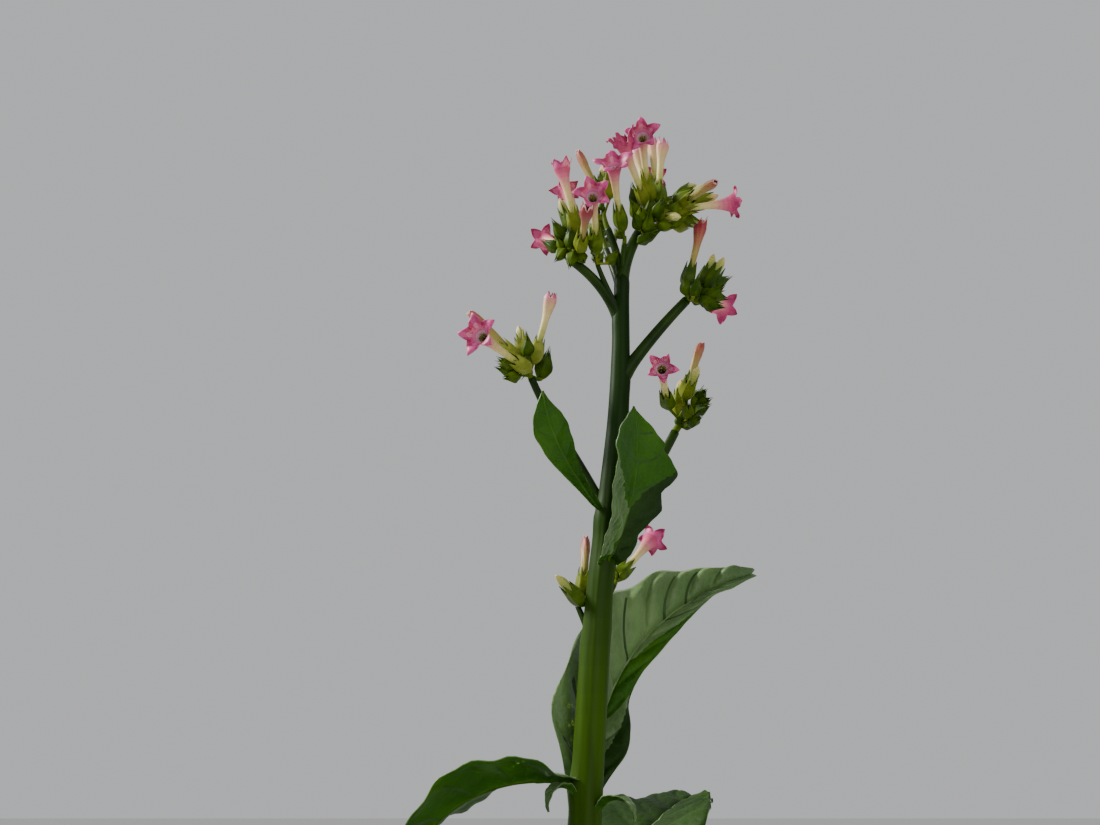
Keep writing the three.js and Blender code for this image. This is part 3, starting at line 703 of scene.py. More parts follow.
VEIN_FINISH = {"scale": 60.0, "roughness": 0.5, "sheen": 0.0, "specular": 0.2}
LEAF_MATERIALS = [
    blade_material("leaf_upper_face", [(56, 86, 38), (72, 102, 48), (90, 120, 62), (104, 132, 76)],
                   net_share=0.18, roughness=0.5, sheen=0.15, through=0.12),
    blade_material("leaf_underside", [(28, 66, 0), (41, 82, 2), (58, 100, 8), (60, 100, 14)],
                   net_share=0.2, roughness=0.6, sheen=0.0, through=0.1, specular=0.15),
    mottled("rib_above", (96, 130, 66), (118, 148, 84), scale=60.0, roughness=0.5),
    mottled("rib_below", (44, 82, 4), (58, 94, 10), **VEIN_FINISH),
    mottled("vein_above", (34, 60, 20), (48, 76, 30), **VEIN_FINISH),
    mottled("vein_below", (28, 64, 0), (40, 78, 4), **VEIN_FINISH),
    # A deep green of painted shade, which patches lay over parts of leaves that stand in shade.
    blade_material("leaf_painted_shade_face", [(12, 34, 0), (22, 48, 2), (34, 64, 6), (38, 66, 8)],
                   net_share=0.2, roughness=0.6, sheen=0.0, through=0.05, specular=0.15),
]

STEM_SHADES = 14
# The stem's shades run from the lower stem's yellow-green up to a dark green of painted shade on the upper
# stem.
STEM_MATERIALS = shades("stem_skin", [(44, 70, 0), (14, 39, 0)], STEM_SHADES, spread=0.22,
                        stretch=(1, 1, 0.06), grain=700.0, sheen=0.0, specular=0.1)
BOUGH_MATERIALS = [
    mottled("bough_skin_green", (16, 36, 0), (34, 58, 2), scale=60.0, roughness=0.42, grain=900.0,
            sheen=0.0, specular=0.12),
]

# The joined pieces of the flower heads have many lightly mottled colours, by part and by bloom.
CALYX_FINISH = {"scale": 160.0, "roughness": 0.45, "sheen": 0.0, "specular": 0.1}
CALYX_MATERIALS = [
    mottled("calyx_dark", (34, 58, 0), (58, 80, 2), **CALYX_FINISH),
    mottled("calyx_mid", (54, 76, 6), (80, 100, 14), **CALYX_FINISH),
    mottled("calyx_pale", (84, 98, 14), (108, 118, 26), **CALYX_FINISH),
    mottled("calyx_palest", (104, 114, 32), (132, 138, 52), **CALYX_FINISH),
]
CALYX_DARK, CALYX_MID, CALYX_PALE, CALYX_PALEST = range(4)
STALK_MATERIALS = CALYX_MATERIALS[CALYX_MID:]
STALK_MID, STALK_PALE = 0, CALYX_PALE - CALYX_MID
PALE_HEADS = ("left",)
# The right head's calyces are one shade darker: painted shade on a head that stands in shade.
PAINTED_SHADE_HEADS = ("right",)

TUBE_SHADES, PETAL_SHADES, SPENT_SHADES, BUD_SHADES = 24, 6, 18, 10
COROLLA_MATERIALS = [
    *shades("tube", [(120, 136, 44), (172, 170, 92), (196, 184, 122), (200, 168, 124), (198, 106, 126),
                     (174, 42, 100)], TUBE_SHADES, sheen=0.0, specular=0.2, through=0.08),
    *shades("petal", [(218, 168, 188), (198, 86, 142), (172, 34, 104), (148, 16, 80), (100, 8, 42)],
            PETAL_SHADES, spread=0.14, through=0.08),
    # The throat's dark olive is painted shade deep in an open flower's throat.
    mottled("throat_painted_shade", (56, 60, 20), (92, 90, 34), scale=140.0, roughness=0.6),
]
TUBE_FOOT, TUBE_END = 0, TUBE_SHADES - 1
PETAL_PALE = TUBE_SHADES
PETAL_DARK = TUBE_SHADES + PETAL_SHADES - 1
THROAT_PAINTED_SHADE = PETAL_DARK + 1
SPENT_MATERIALS = [
    *shades("spent", [(96, 106, 30), (136, 128, 48), (146, 122, 58), (148, 84, 58), (136, 36, 46)],
            SPENT_SHADES),
    mottled("spent_edge", (196, 130, 128), (222, 176, 166), scale=160.0, roughness=0.5),
    # The spent mouth's dark red is partly a withered end's own colour and partly painted shade inside the
    # mouth.
    mottled("spent_mouth", (70, 10, 18), (108, 20, 32), scale=160.0, roughness=0.5),
]
SPENT_EDGE = SPENT_SHADES
SPENT_MOUTH = SPENT_SHADES + 1
BUD_MATERIALS = shades("bud", [(106, 124, 42), (148, 154, 68), (186, 174, 100), (198, 134, 102)], BUD_SHADES)
STAMEN_MATERIALS = [
    mottled("anther_olive", (86, 76, 34), (124, 108, 52), scale=300.0, roughness=0.7),
    mottled("stigma_green", (96, 120, 50), (120, 144, 66), scale=300.0, roughness=0.4),
]
ANTHER, FILAMENT = 0, 1


# Leaves. A blade has a few rows for every side vein. Across it, the rib has one column on each side and
# the other columns are even.
BLADE_STEPS = 84
BLADE_THICK = 0.7
FIRST_SEED = 300
WIDTH_STEPS = 400
VEIN_GAP = 24
VEIN_COUNTS = (5, 16)
VEIN_START = 0.7
VEIN_ROWS = (-0.5, -0.36, -0.22, -0.12, -0.035, 0.035, 0.12, 0.22, 0.36)
FIRST_ROWS = [0.0, 0.012]
LAST_VEIN_ROW = 0.985
LAST_ROWS = [0.992, 1.0]
RIB_COLUMN = 0.06
COLUMN_GAP = 5.5
COLUMN_COUNTS = (8, 20)

# The outline: how its side veins sweep forwards, and the waves of its lobes and of its unevenness.
VEIN_SWEEP = 0.14
SWEEP_CURVE = 1.3
LOBE_WAVES = 3.85
LOBE_START = 0.035
NO_DIP = (0.5, 1, 0)
UNEVEN = 0.02
UNEVEN_ALONG = 41
UNEVEN_ACROSS = 3
LEAST_HALF = 0.05

# The rib and the side veins under the blade. RIB_WIDTH, RIB_DEPTH and VEIN_DEPTH are shares of the
# leaf's length, the least ones are in millimetres, and VEIN_WIDTH and VEIN_BAND are shares of the way to
# the next vein.
RIB_WIDTH = 0.0055
RIB_TAPER = 0.85
RIB_LEAST = 0.35
RIB_DEPTH = 0.011
RIB_DEPTH_LEAST = 0.2
RIB_DEPTH_CURVE = 1.2
RIB_SPREAD = 1.2
VEIN_DEPTH = 0.0022
VEIN_WIDTH = 0.07
VEIN_FADE = 0.7
VEIN_BAND = 0.03
VEIN_TINT_ENDS = 0.8
PATCH_SLANT = 0.16

# The relief: a quilt between the veins, small puckers and creases, which are sines of unlike lengths in
# millimetres, and the margin's slow and quick waves. Each fades towards an edge over a share of the way.
# WAVE_TURN is a full turn, rounded to two places.
PUFF = 0.011
PUFF_MOST = 3.2
PUFF_CURVE = 0.8
RIB_FADE, EDGE_FADE, FOOT_FADE, TIP_FADE = 0.12, 0.25, 0.08, 0.1
PUCKER = 0.5
PUCKER_PLAIN, PUCKER_FOOT, PUCKER_FADE = 0.35, 1.4, 0.3
CREASED_TO = 0.56
CREASE_FADE = 0.1
RUFFLE = 0.024
WAVE_TURN = 6.28
SLOW_WAVES = (3.2, 5.2)
QUICK_WAVES = (7.0, 11.0)
QUICK_SHARE = 0.55
WAVE_CURVE = 2.4
WAVE_FOOT, WAVE_TIP = 0.06, 0.12


def half_width(leaf, t):
    widest, waist = leaf.get("widest", WIDEST_AT), leaf.get("waist", WAIST)
    if t < widest:
        return leaf["width"] / 2 * mix(BASE_WIDTH, 1, math.sin(math.pi / 2 * t / widest) ** waist)
    u = (t - widest) / (1 - widest)
    return leaf["width"] / 2 * max(1 - u ** TIP_FULLNESS, 0) ** leaf.get("tip_point", TIP_POINT)


def blade_frames(leaf):
    """The rib's points, and the way across the blade and up from it, at even steps."""
    azimuth, turn = leaf["azimuth"], leaf["turn"]

    def tangent_at(t):
        return heading(azimuth + turn * t, mix(leaf["rise"], leaf["droop"], t ** DROOP_EASE))

    point = stem_centre(leaf["height"]) + heading(azimuth, 0) * (stem_radius(leaf["height"]) - BASE_SUNK)
    centres, sides, normals = [], [], []
    for i in range(BLADE_STEPS + 1):
        t = i / BLADE_STEPS
        tangent = tangent_at(t)
        rolled = math.sin(math.pi / 2 * min(t / ROLLED_BY, 1))
        side = turned(heading(azimuth + turn * t + 90, 0), tangent, math.radians(leaf["roll"] * rolled))
        centres.append(point)
        sides.append(side)
        normals.append(np.cross(tangent, side))
        point = point + tangent_at(t + 0.5 / BLADE_STEPS) * leaf["length"] / BLADE_STEPS
    return np.array(centres), np.array(sides), np.array(normals)


def sampled(values, t):
    """Rows of values at shares t of the blade's length."""
    place = np.clip(t, 0, 1) * BLADE_STEPS
    i = np.minimum(place.astype(int), BLADE_STEPS - 1)
    part = (place - i)[..., None]
    return values[i] * (1 - part) + values[i + 1] * part


def surface_normals(surface, up):
    """The surface's own normals, on the side that up points to."""
    normals = np.cross(np.gradient(surface, axis=0), np.gradient(surface, axis=1))
    size = np.linalg.norm(normals, axis=-1, keepdims=True)
    normals = np.where(size > 1e-6, normals / np.maximum(size, 1e-6), up)
    return normals * np.sign(np.sum(normals * up))


def blade_rows(veins):
    rows = [(k + VEIN_START + offset) / (veins + VEIN_START) for k in range(veins) for offset in VEIN_ROWS]
    return sorted(t for t in FIRST_ROWS + rows if t <= LAST_VEIN_ROW) + LAST_ROWS


def blade_columns(leaf):
    count = leaf.get("columns", int(held(round(leaf["width"] / 2 / COLUMN_GAP), *COLUMN_COUNTS)))
    half = [0, RIB_COLUMN] + [RIB_COLUMN + (1 - RIB_COLUMN) * (k + 1) / count for k in range(count)]
    return np.array([-s for s in half[:0:-1]] + half)


def blade_outline(leaf, s, t, place):
    """Half the blade's width, with what sets this leaf's halves apart."""
    widths = np.array([half_width(leaf, i / WIDTH_STEPS) for i in range(WIDTH_STEPS + 1)])
    half = np.interp(place, np.linspace(0, 1, WIDTH_STEPS + 1), widths)
    half = half * np.where(s < 0, leaf.get("near_share", 1), 1)
    half = half * (1 + leaf.get("lobed", 0) * np.sin(FULL_TURN * LOBE_WAVES * (place - LOBE_START)) * (s > 0))
    dip_at, dip_long, dip_deep = leaf.get("near_dip", NO_DIP)
    half = half * (1 - dip_deep * bell(place - dip_at, dip_long) * (s < 0))
    return np.maximum(half * (1 + UNEVEN * np.sin(UNEVEN_ALONG * t + UNEVEN_ACROSS * s)), BLADE_THICK / 2)


def blade_quilt(leaf, seed, s, t, along_way, out_way, from_vein):
    """How far the blade stands up between its veins, with its puckers and creases."""
    reaching = rising(np.abs(s), RIB_FADE) * rising(1 - np.abs(s), EDGE_FADE)
    puff = leaf.get("puff", 1.0) * min(PUFF_MOST, PUFF * leaf["length"])
    quilt = puff * np.sin(math.pi * np.minimum(from_vein, 0.5)) ** PUFF_CURVE * reaching
    quilt = quilt * rising(t, FOOT_FADE) * rising(1 - t, TIP_FADE)
    quilt = quilt * np.where(s < 0, leaf.get("near_puff", 1), 1)
    bumps = (np.sin(along_way / 2.9 + 1.3 * np.sin(out_way / 4.1))
             * np.sin(out_way / 2.6 + np.sin(along_way / 5.3))
             + 0.7 * np.sin(along_way / 1.7 + out_way / 3.3 + seed))
    foot = PUCKER_PLAIN + PUCKER_FOOT * bell(along_way / leaf["length"], PUCKER_FADE)
    quilt = quilt + leaf.get("pucker", PUCKER) * bumps * reaching * foot
    creases = (np.sin(out_way * 1.3 + 2 * np.sin(along_way / 7))
               + 0.6 * np.sin(along_way / 2.2 + out_way / 1.9))
    return quilt + leaf.get("crumple", 0) * creases * (s < 0) * reaching * rising(CREASED_TO - t, CREASE_FADE)


def blade_wave(leaf, waves, s, place):
    """How far the margin's waves lift each half."""
    wave = np.zeros_like(place * s)
    for half, (start, slow, quick) in zip((NEAR, FAR), waves):
        ripple = np.sin(FULL_TURN * slow * place + start)
        ripple = ripple + QUICK_SHARE * np.sin(FULL_TURN * quick * place + 2 * start)
        wave = wave + np.where(np.sign(s) == half, ripple, 0)
    wave = wave * (leaf.get("ruffle", RUFFLE) * leaf["width"]) * np.abs(s) ** WAVE_CURVE
    return wave * rising(place, WAVE_FOOT) * rising(1 - place, WAVE_TIP)


def blade_tints(leaf, s, t, vein):
    """The tints of the faces round the blade: its under face, an edge, its upper face and the other edge."""
    vein_place = (vein[:-1, 0] + vein[1:, 0]) / 2
    on_vein = np.abs(np.round(vein_place) - vein_place) < VEIN_BAND
    middles = (t[:-1, 0] + t[1:, 0]) / 2
    between = (np.abs(s[0, :-1]) + np.abs(s[0, 1:])) / 2
    faces = []
    for plain, rib, line in ((UNDER, RIB_BELOW, VEIN_BELOW), (UPPER, RIB_ABOVE, VEIN_ABOVE)):
        tint = np.full((len(middles), len(between)), plain)
        tint[on_vein[:, None] & (between < VEIN_TINT_ENDS)[None, :]] = line
        # Patches lay painted light and shade over parts of a half.
        for half, from_t, to_t, face in leaf.get("patches", ()):
            slanted = to_t - PATCH_SLANT * (1 - between)[None, :]
            inside = (middles[:, None] > from_t) & (middles[:, None] < slanted)
            tint[inside & (half * (s[0, 1:] + s[0, :-1]) > 0)[None, :]] = face
        tint[:, between < RIB_COLUMN] = rib
        faces.append(tint)
    edge = np.full((len(middles), 1), UPPER)
    return np.concatenate([faces[0], edge, faces[1][:, ::-1], edge], 1)


def blade(name, leaf, seed):
    """A leaf with its rib, side veins, quilted blade and waved margin."""
    random = seeded(seed)
    length = leaf["length"]
    fold = math.radians(leaf["fold"])
    centres, sides, normals = blade_frames(leaf)
    veins = int(held(round(length / VEIN_GAP), *VEIN_COUNTS))
    waves = [(next(random) * WAVE_TURN, mix(*SLOW_WAVES, next(random)), mix(*QUICK_WAVES, next(random)))
             for _ in (NEAR, FAR)]
    t = np.array(blade_rows(veins))[:, None] * leaf.get("ends_at", 1)
    s = blade_columns(leaf)[None, :]
    far = np.abs(s)
    place = np.clip(t + VEIN_SWEEP * far ** SWEEP_CURVE * np.sin(math.pi * t), 0, 1)
    rib_half = np.maximum(RIB_WIDTH * length * (1 - RIB_TAPER * t), RIB_LEAST)
    beyond_rib = np.maximum(blade_outline(leaf, s, t, place) - rib_half, LEAST_HALF)
    out = np.where(far > 0, rib_half + (far - RIB_COLUMN) / (1 - RIB_COLUMN) * beyond_rib, 0)
    vein = t * (veins + VEIN_START) - VEIN_START
    from_vein = np.abs(vein - np.round(vein))
    lift = blade_quilt(leaf, seed, s, t, place * length, out * np.sign(s), from_vein)
    lift = lift + blade_wave(leaf, waves, s, place)
    rib_deep = np.maximum(RIB_DEPTH * length * (1 - t) ** RIB_DEPTH_CURVE, RIB_DEPTH_LEAST)
    rib_deep = rib_deep * bell(out, rib_half * RIB_SPREAD)
    vein_deep = VEIN_DEPTH * length * bell(from_vein, VEIN_WIDTH) * rising(1 - far, VEIN_FADE) * (far > 0)
    across = sampled(sides, place) * np.sign(s)[..., None]
    up = sampled(normals, place)
    surface = (sampled(centres, place) + across * (out * math.cos(fold))[..., None]
               + up * (out * math.sin(fold) + lift)[..., None])
    out_of_it = surface_normals(surface, up)
    top = surface + out_of_it * (BLADE_THICK / 2)
    under = surface - out_of_it * (BLADE_THICK / 2 + vein_deep)[..., None] - up * rib_deep[..., None]
    shell = Shell()
    shell.tube(np.concatenate([under, top[:, ::-1]], 1), blade_tints(leaf, s, t, vein), RIB_BELOW, UPPER)
    shell.piece(f"blade_of_{name}", LEAF_MATERIALS, [name], "leaf")


LEAVES = {**spiral_leaves(), **UPPER_LEAVES}
for number, (leaf_name, leaf) in enumerate(LEAVES.items()):
    blade(leaf_name, leaf, FIRST_SEED + number)


# The stem: shallow ridges, a swelling under every bough and under every leaf but the smallest, and two
# ridges that run down from each swelling.
STEM_ROW = 4
STEM_SIDES = 48
# Between these two heights the stem's colour darkens upwards: painted shade on the upper stem.
STEM_SHADE_PAINT_FROM = 1270
STEM_SHADE_PAINT_TO = 1450
DOME_FROM = 1562
DOME = 15
DOME_CLOSED = 0.98
RIDGES, RIDGE_SIZE, RIDGE_SWAY, RIDGE_LONG = 5, 0.016, 0.9, 170
FINE_RIDGES, FINE_RIDGE_SIZE, FINE_RIDGE_LONG = 11, 0.009, 260
RIDGES_FROM, RIDGES_BY = 0.3, 40
SHORTEST_MARKED_LEAF = 60
BOUGH_MARK_UP, BOUGH_MARK = 4, 0.6
SWELL, SWELL_BELOW, SWELL_LONG, SWELL_WIDE = 0.16, 3, 9, 0.9
TRACE, TRACE_LONG, TRACE_APART, TRACE_WIDE = 0.05, 110, 0.55, 0.12


def stem_rings():
    a = angles_round(STEM_SIDES)
    marks = [(leaf["height"], leaf["azimuth"], 1.0) for leaf in LEAVES.values()
             if leaf["length"] > SHORTEST_MARKED_LEAF]
    marks += [(bough["height"] + BOUGH_MARK_UP, bough["azimuth"], BOUGH_MARK) for bough in BOUGHS.values()]
    rings = []
    for z in np.linspace(0, STEM_TOP, round(STEM_TOP / STEM_ROW) + 1):
        radius = stem_radius(z) * math.sqrt(1 - held((z - DOME_FROM) / DOME, 0, DOME_CLOSED) ** 2)
        ridges = RIDGE_SIZE * np.cos(RIDGES * a + RIDGE_SWAY * math.sin(z / RIDGE_LONG))
        ridges = ridges + FINE_RIDGE_SIZE * np.cos(FINE_RIDGES * a + z / FINE_RIDGE_LONG)
        r = radius * (1 + ridges * min(1, z / RIDGES_BY + RIDGES_FROM))
        for height, azimuth, size in marks:
            off = (a - math.radians(azimuth) + math.pi) % FULL_TURN - math.pi
            r = r + SWELL * radius * size * bell(z - height + SWELL_BELOW, SWELL_LONG) * bell(off, SWELL_WIDE)
            if 0 < height - z < TRACE_LONG:
                fade = (1 - (height - z) / TRACE_LONG) * TRACE * radius * size
                r = r + fade * bell(np.abs(off) - TRACE_APART, TRACE_WIDE)
        out = np.stack([np.cos(a), np.sin(a), np.zeros_like(a)], -1)
        rings.append(stem_centre(z)[None] + out * r[:, None])
    return np.array(rings)


stem = Shell()
stem_heights = np.arange(round(STEM_TOP / STEM_ROW)) * STEM_ROW
stem_shade_paint = np.round(np.interp(stem_heights, [STEM_SHADE_PAINT_FROM, STEM_SHADE_PAINT_TO], [0, STEM_SHADES - 1]))
stem.tube(stem_rings(), stem_shade_paint.astype(int))
stem.piece("stem_skin", STEM_MATERIALS, ["main_stem"], "stem")

# The boughs: each widens to a collar where it leaves the stem, and has shallow ridges.
BOUGH_RINGS = 30
BOUGH_SIDES = 20
COLLAR = 0.55
COLLAR_LONG = 6
BOUGH_RIDGES, BOUGH_RIDGE_SIZE, BOUGH_RIDGE_TURN = 5, 0.03, 2
boughs = Shell()
for bough in BOUGHS.values():
    place = np.arange(BOUGH_RINGS + 1) / BOUGH_RINGS
    radii = mix(bough["radius"], bough["tip_radius"], place)
    past_stem = np.maximum(place * bough["length"] - stem_radius(bough["height"]), 0)
    collar = 1 + COLLAR * math.cos(math.radians(bough["rise"])) * np.exp(-past_stem / COLLAR_LONG)
    ridges = np.cos(BOUGH_RIDGES * angles_round(BOUGH_SIDES)[None, :] + BOUGH_RIDGE_TURN * place[:, None])
    boughs.tube(rings_along(bough_path(bough, BOUGH_RINGS),
                            (radii * collar)[:, None] * (1 + BOUGH_RIDGE_SIZE * ridges), BOUGH_SIDES), 0)
boughs.piece("boughs_skin", BOUGH_MATERIALS, [f"bough_{name}" for name in BOUGHS], "stem")


# Flowers.
# Where an open flower turns its face, as (azimuth, rise), and how a few flowers look unlike the others.
# Both go by the head and by the number of the bloom in it.
FACES = {
    ("right_top", 1): (262, -12), ("right_top", 8): (8, 10), ("front_top", 0): (262, 26),
    ("left_inner", 0): (269, -2), ("left", 0): (249, -6), ("right_low", 0): (262, -16),
}
# A deep look is painted shade: the petals of a flower that stands in shade, one shade darker.
LOOKS = {
    ("right", 0): "withered", ("right", 4): "deep", ("right_top", 0): "wilting", ("right_top", 8): "deep",
    ("left_top", 1): "funnel", ("left_top", 3): "crumpled", ("front_top", 0): "wide", ("left", 0): "wide",
    ("left", 1): "shrunk", ("left", 4): "shut", ("right_low", 0): "small",
}
LIMB_SIZES = {"wide": 1.14, "small": 0.86}

# A bloom's own differences. Its centreline bends, and past a place along it an open flower turns to its
# face or else nods by a few degrees. Pairs here and below are the least and the most, or first and last.
SHUT_SIZE = 1.4
DRAWS = 16
BLOOM_SEED, BLOOM_SEED_STEP = 1000, 37
BENDS = (0.3, 1.6)
NODS = (3, 11)
NOD_FROM = 36
NOD_OVER = 12
CENTRE_STEP = 0.5
CENTRE_END = 62


def lobe_shape(count, offset=0.0):
    """How far each side is from the middle of its lobe, from 0 to 1."""
    a = np.arange(count) / count * LOBES + offset
    return np.abs(a - np.round(a)) * 2


class Bloom:
    """A bloom's own frame, with its small differences from the others."""

    def __init__(self, bloom, number, face, look):
        self.stage, self.base, self.axis, self.root = (bloom[k] for k in ("stage", "base", "axis", "root"))
        self.look = look
        self.size = bloom.get("size", 1)
        if look == "shut":
            self.stage, self.size = "young", SHUT_SIZE
        random = seeded(BLOOM_SEED + BLOOM_SEED_STEP * number)
        self.draws = [next(random) for _ in range(DRAWS)]
        profile = STAGES[self.stage]
        sides, ups = frames_along([self.root] + [self.base + self.axis * d for d, _ in profile])
        self.side, self.up = sides[-1], ups[-1]
        self.reach = profile[-1][0]
        self.bend = turned(self.side, self.axis, FULL_TURN * self.draws[0]) * mix(*BENDS, self.draws[1])
        hinge, nod = self.side, 0.0
        if face is not None:
            hinge = unit(np.cross(self.axis, face))
            nod = math.acos(np.clip(np.dot(self.axis, face), -1, 1))
        elif self.stage == "open":
            hinge = turned(self.side, self.axis, FULL_TURN * self.draws[15])
            nod = math.radians(mix(*NODS, self.draws[14]))
        self.places = np.arange(0, CENTRE_END, CENTRE_STEP)
        centre = self.base
        centres, ways = [], []
        for d in self.places:
            t = held((d - NOD_FROM) / NOD_OVER, 0, 1)
            angle = nod * t * t * (3 - 2 * t)
            centres.append(centre)
            ways.append([turned(v, hinge, angle) for v in (self.side, self.up, self.axis)])
            centre = centre + ways[-1][2] * CENTRE_STEP
        self.centres, self.ways = np.array(centres), np.array(ways)

    def frame_at(self, distance):
        """The centre, the two ways across and the way ahead at a distance from the base."""
        i = int(held(distance / CENTRE_STEP, 0, len(self.places) - 1))
        side, up, ahead = self.ways[i]
        t = held(distance / self.reach, 0, 1)
        centre = self.centres[i] + ahead * (distance - self.places[i]) + self.bend * 4 * t * (1 - t)
        return centre, side, up, ahead

    def ring(self, distance, radius, count, lift=0.0):
        """One ring of the bloom. Radius and lift are one for all sides, or go by side."""
        centre, side, up, ahead = self.frame_at(distance * self.size)
        a = angles_round(count)
        out = side[None] * np.cos(a)[:, None] + up[None] * np.sin(a)[:, None]
        lifted = np.broadcast_to(np.asarray(lift, float), (count,))[:, None] * ahead[None] * self.size
        radius = np.broadcast_to(np.asarray(radius, float), (count,)) * self.size
        return centre[None] + out * radius[:, None] + lifted


class Body:
    """One ringed body of a bloom, ring by ring, each ring with the tint of the faces after it."""

    def __init__(self, bloom, sides):
        self.bloom, self.sides, self.rows, self.tints = bloom, sides, [], []

    def ring(self, distance, radius, tint, lift=0.0):
        self.rows.append(self.bloom.ring(distance, radius, self.sides, lift))
        self.tints.append(np.broadcast_to(tint, (self.sides,)))

    def join_to(self, shell, near=None, far=None):
        shell.tube(self.rows, np.array(self.tints[:-1]), near, far)


def shade_at(places, distance, first, count):
    """The number of the shade that a distance falls in, between two places."""
    t = (distance - places[0]) / (places[1] - places[0])
    return first + int(held(round(t * (count - 1)), 0, count - 1))


# Calyces. Each row of a profile is a share of the length and a radius.
CALYX_SIDES = 30
TIPS_FROM = 10
TIP_WIDTH = 0.3
CALYX_PROFILE = [[0, 1.4], [0.12, 3.0], [0.3, 4.3], [0.6, 4.8], [0.85, 4.4], [1.0, 3.9]]
YOUNG_PROFILE = [[0, 1.3], [0.15, 2.9], [0.4, 4.0], [0.7, 3.5], [0.9, 2.3], [1.0, 1.7]]
CALYX_LENGTH, YOUNG_LENGTH, LENGTH_VARIES = 14.0, 10.8, (0.92, 1.06)
TOOTH, YOUNG_TOOTH, TOOTH_VARIES = 7.2, 5.6, (0.8, 1.15)
TEETH_CLOSE, YOUNG_TEETH_CLOSE = (-0.05, 0.3), (0.55, 0.9)
TEETH_FROM, TEETH_GROW, TEETH_UNEVEN, TOOTH_POINT = 0.7, 1.2, 0.25, 1.5
CUP_RIBS, CUP_FINE_RIBS = 0.11, 0.035
CALYX_THICK, CALYX_INSIDE_LOWER = 0.4, 0.3
LEAST_RADIUS = 0.2
OUTER_RINGS = (0, 0.05, 0.12, 0.22, 0.34, 0.48, 0.62, 0.74, 0.82, 0.9, 0.96, 1.0)
INNER_RINGS = (1.0, 0.85, 0.65)


def calyx(shell, bloom, tint):
    """A ribbed green cup with five pointed teeth. On a young bud they close over it."""
    young = bloom.stage == "young"
    profile = YOUNG_PROFILE if young else CALYX_PROFILE
    length = (YOUNG_LENGTH if young else CALYX_LENGTH) * mix(*LENGTH_VARIES, bloom.draws[2])
    tooth = (YOUNG_TOOTH if young else TOOTH) * mix(*TOOTH_VARIES, bloom.draws[3])
    closes = mix(*(YOUNG_TEETH_CLOSE if young else TEETH_CLOSE), bloom.draws[8])
    off = lobe_shape(CALYX_SIDES)
    point = (1 - off) ** TOOTH_POINT
    a = angles_round(CALYX_SIDES)
    uneven = 1 + TEETH_UNEVEN * np.sin(a + WAVE_TURN * bloom.draws[4])
    ribs = CUP_RIBS * (1 - 2 * off) + CUP_FINE_RIBS * np.cos(2 * LOBES * a)

    def cup_ring(share, thin):
        grows = max(0, (share - TEETH_FROM) / (1 - TEETH_FROM)) ** TEETH_GROW
        radius = along(profile, share) * (1 + ribs * min(1, 3 * share)) - thin
        closing = closes * radius * grows * point
        return bloom.ring(length * share, np.maximum(radius - closing, LEAST_RADIUS), CALYX_SIDES,
                          tooth * uneven * point * grows - thin * CALYX_INSIDE_LOWER)

    rows = [cup_ring(share, 0) for share in OUTER_RINGS]
    rows += [cup_ring(share, CALYX_THICK) for share in INNER_RINGS]
    tints = np.full((len(rows) - 1, CALYX_SIDES), tint)
    tints[TIPS_FROM:, off < TIP_WIDTH] = CALYX_DARK
    shell.tube(rows, tints, tint, CALYX_DARK)


# Open flowers. Each row of a tube or a throat is a distance from the base and a radius, and a tube's
# shades run from one distance to another. A limb that wilts or is still a funnel has radii of its own
# for its tips and notches, and raised tips.
TUBE_SIDES = 25
LIMB_SIDES = 50
TUBE_FROM = [8, 12, 16, 20, 24]
TUBE_CLOSER = 26
OPEN_TUBE = [[8, 1.9], [20, 2.15], [30, 2.4], [36, 2.9], [41, 3.7], [45, 4.7], [47.5, 5.5]]
OPEN_RING_STEP = 1.1
OPEN_PINK = (9, 49)
THROAT = [[38, 1.5], [41, 2.1], [43, 2.9], [45, 3.9], [47.2, 5.0]]
# The throat darkens inwards to painted shade, and the cap that closes it deep down has the same painted
# shade.
THROAT_TINTS = {47.2: PETAL_PALE + 1, 45: PETAL_PALE, 43: TUBE_FOOT + 6, 41: THROAT_PAINTED_SHADE, 38: THROAT_PAINTED_SHADE}
LIMB_FROM = 47.5
MOUTH = 5.5
LIMB_RINGS = (0.12, 0.25, 0.4, 0.55, 0.7, 0.84, 0.94, 1.0)
LIMB_THICK = 0.35
LIMB_VARIES = (0.98, 1.08)
TIP_GROWS, NOTCH_GROWS = 1.06, 0.9
WILTED_LIMB, FUNNEL_LIMB = (10.4, 7.6, 4.4), (7.6, 5.9, 2.6)
LOBE_POINT, LOBES_DIFFER, LOBE_TURN = 1.25, 0.09, 2.4
LIMB_FLARE, LIMB_ARCH, TIP_NODS = 1.7, 1.0, 1.3
EDGE_WAVE, EDGE_WAVES, WILTED_WAVE = 0.6, 9, 1.9
WILTED_UNEVEN, WILTED_WAVES = 0.12, 14
STREAK_WIDTH, BETWEEN_LOBES = 0.3, 0.8
PALE_BELOW, EDGE_FROM, FACE_FROM, FOLD_SHADE_FROM = 0.5, 0.9, 0.35, 0.3


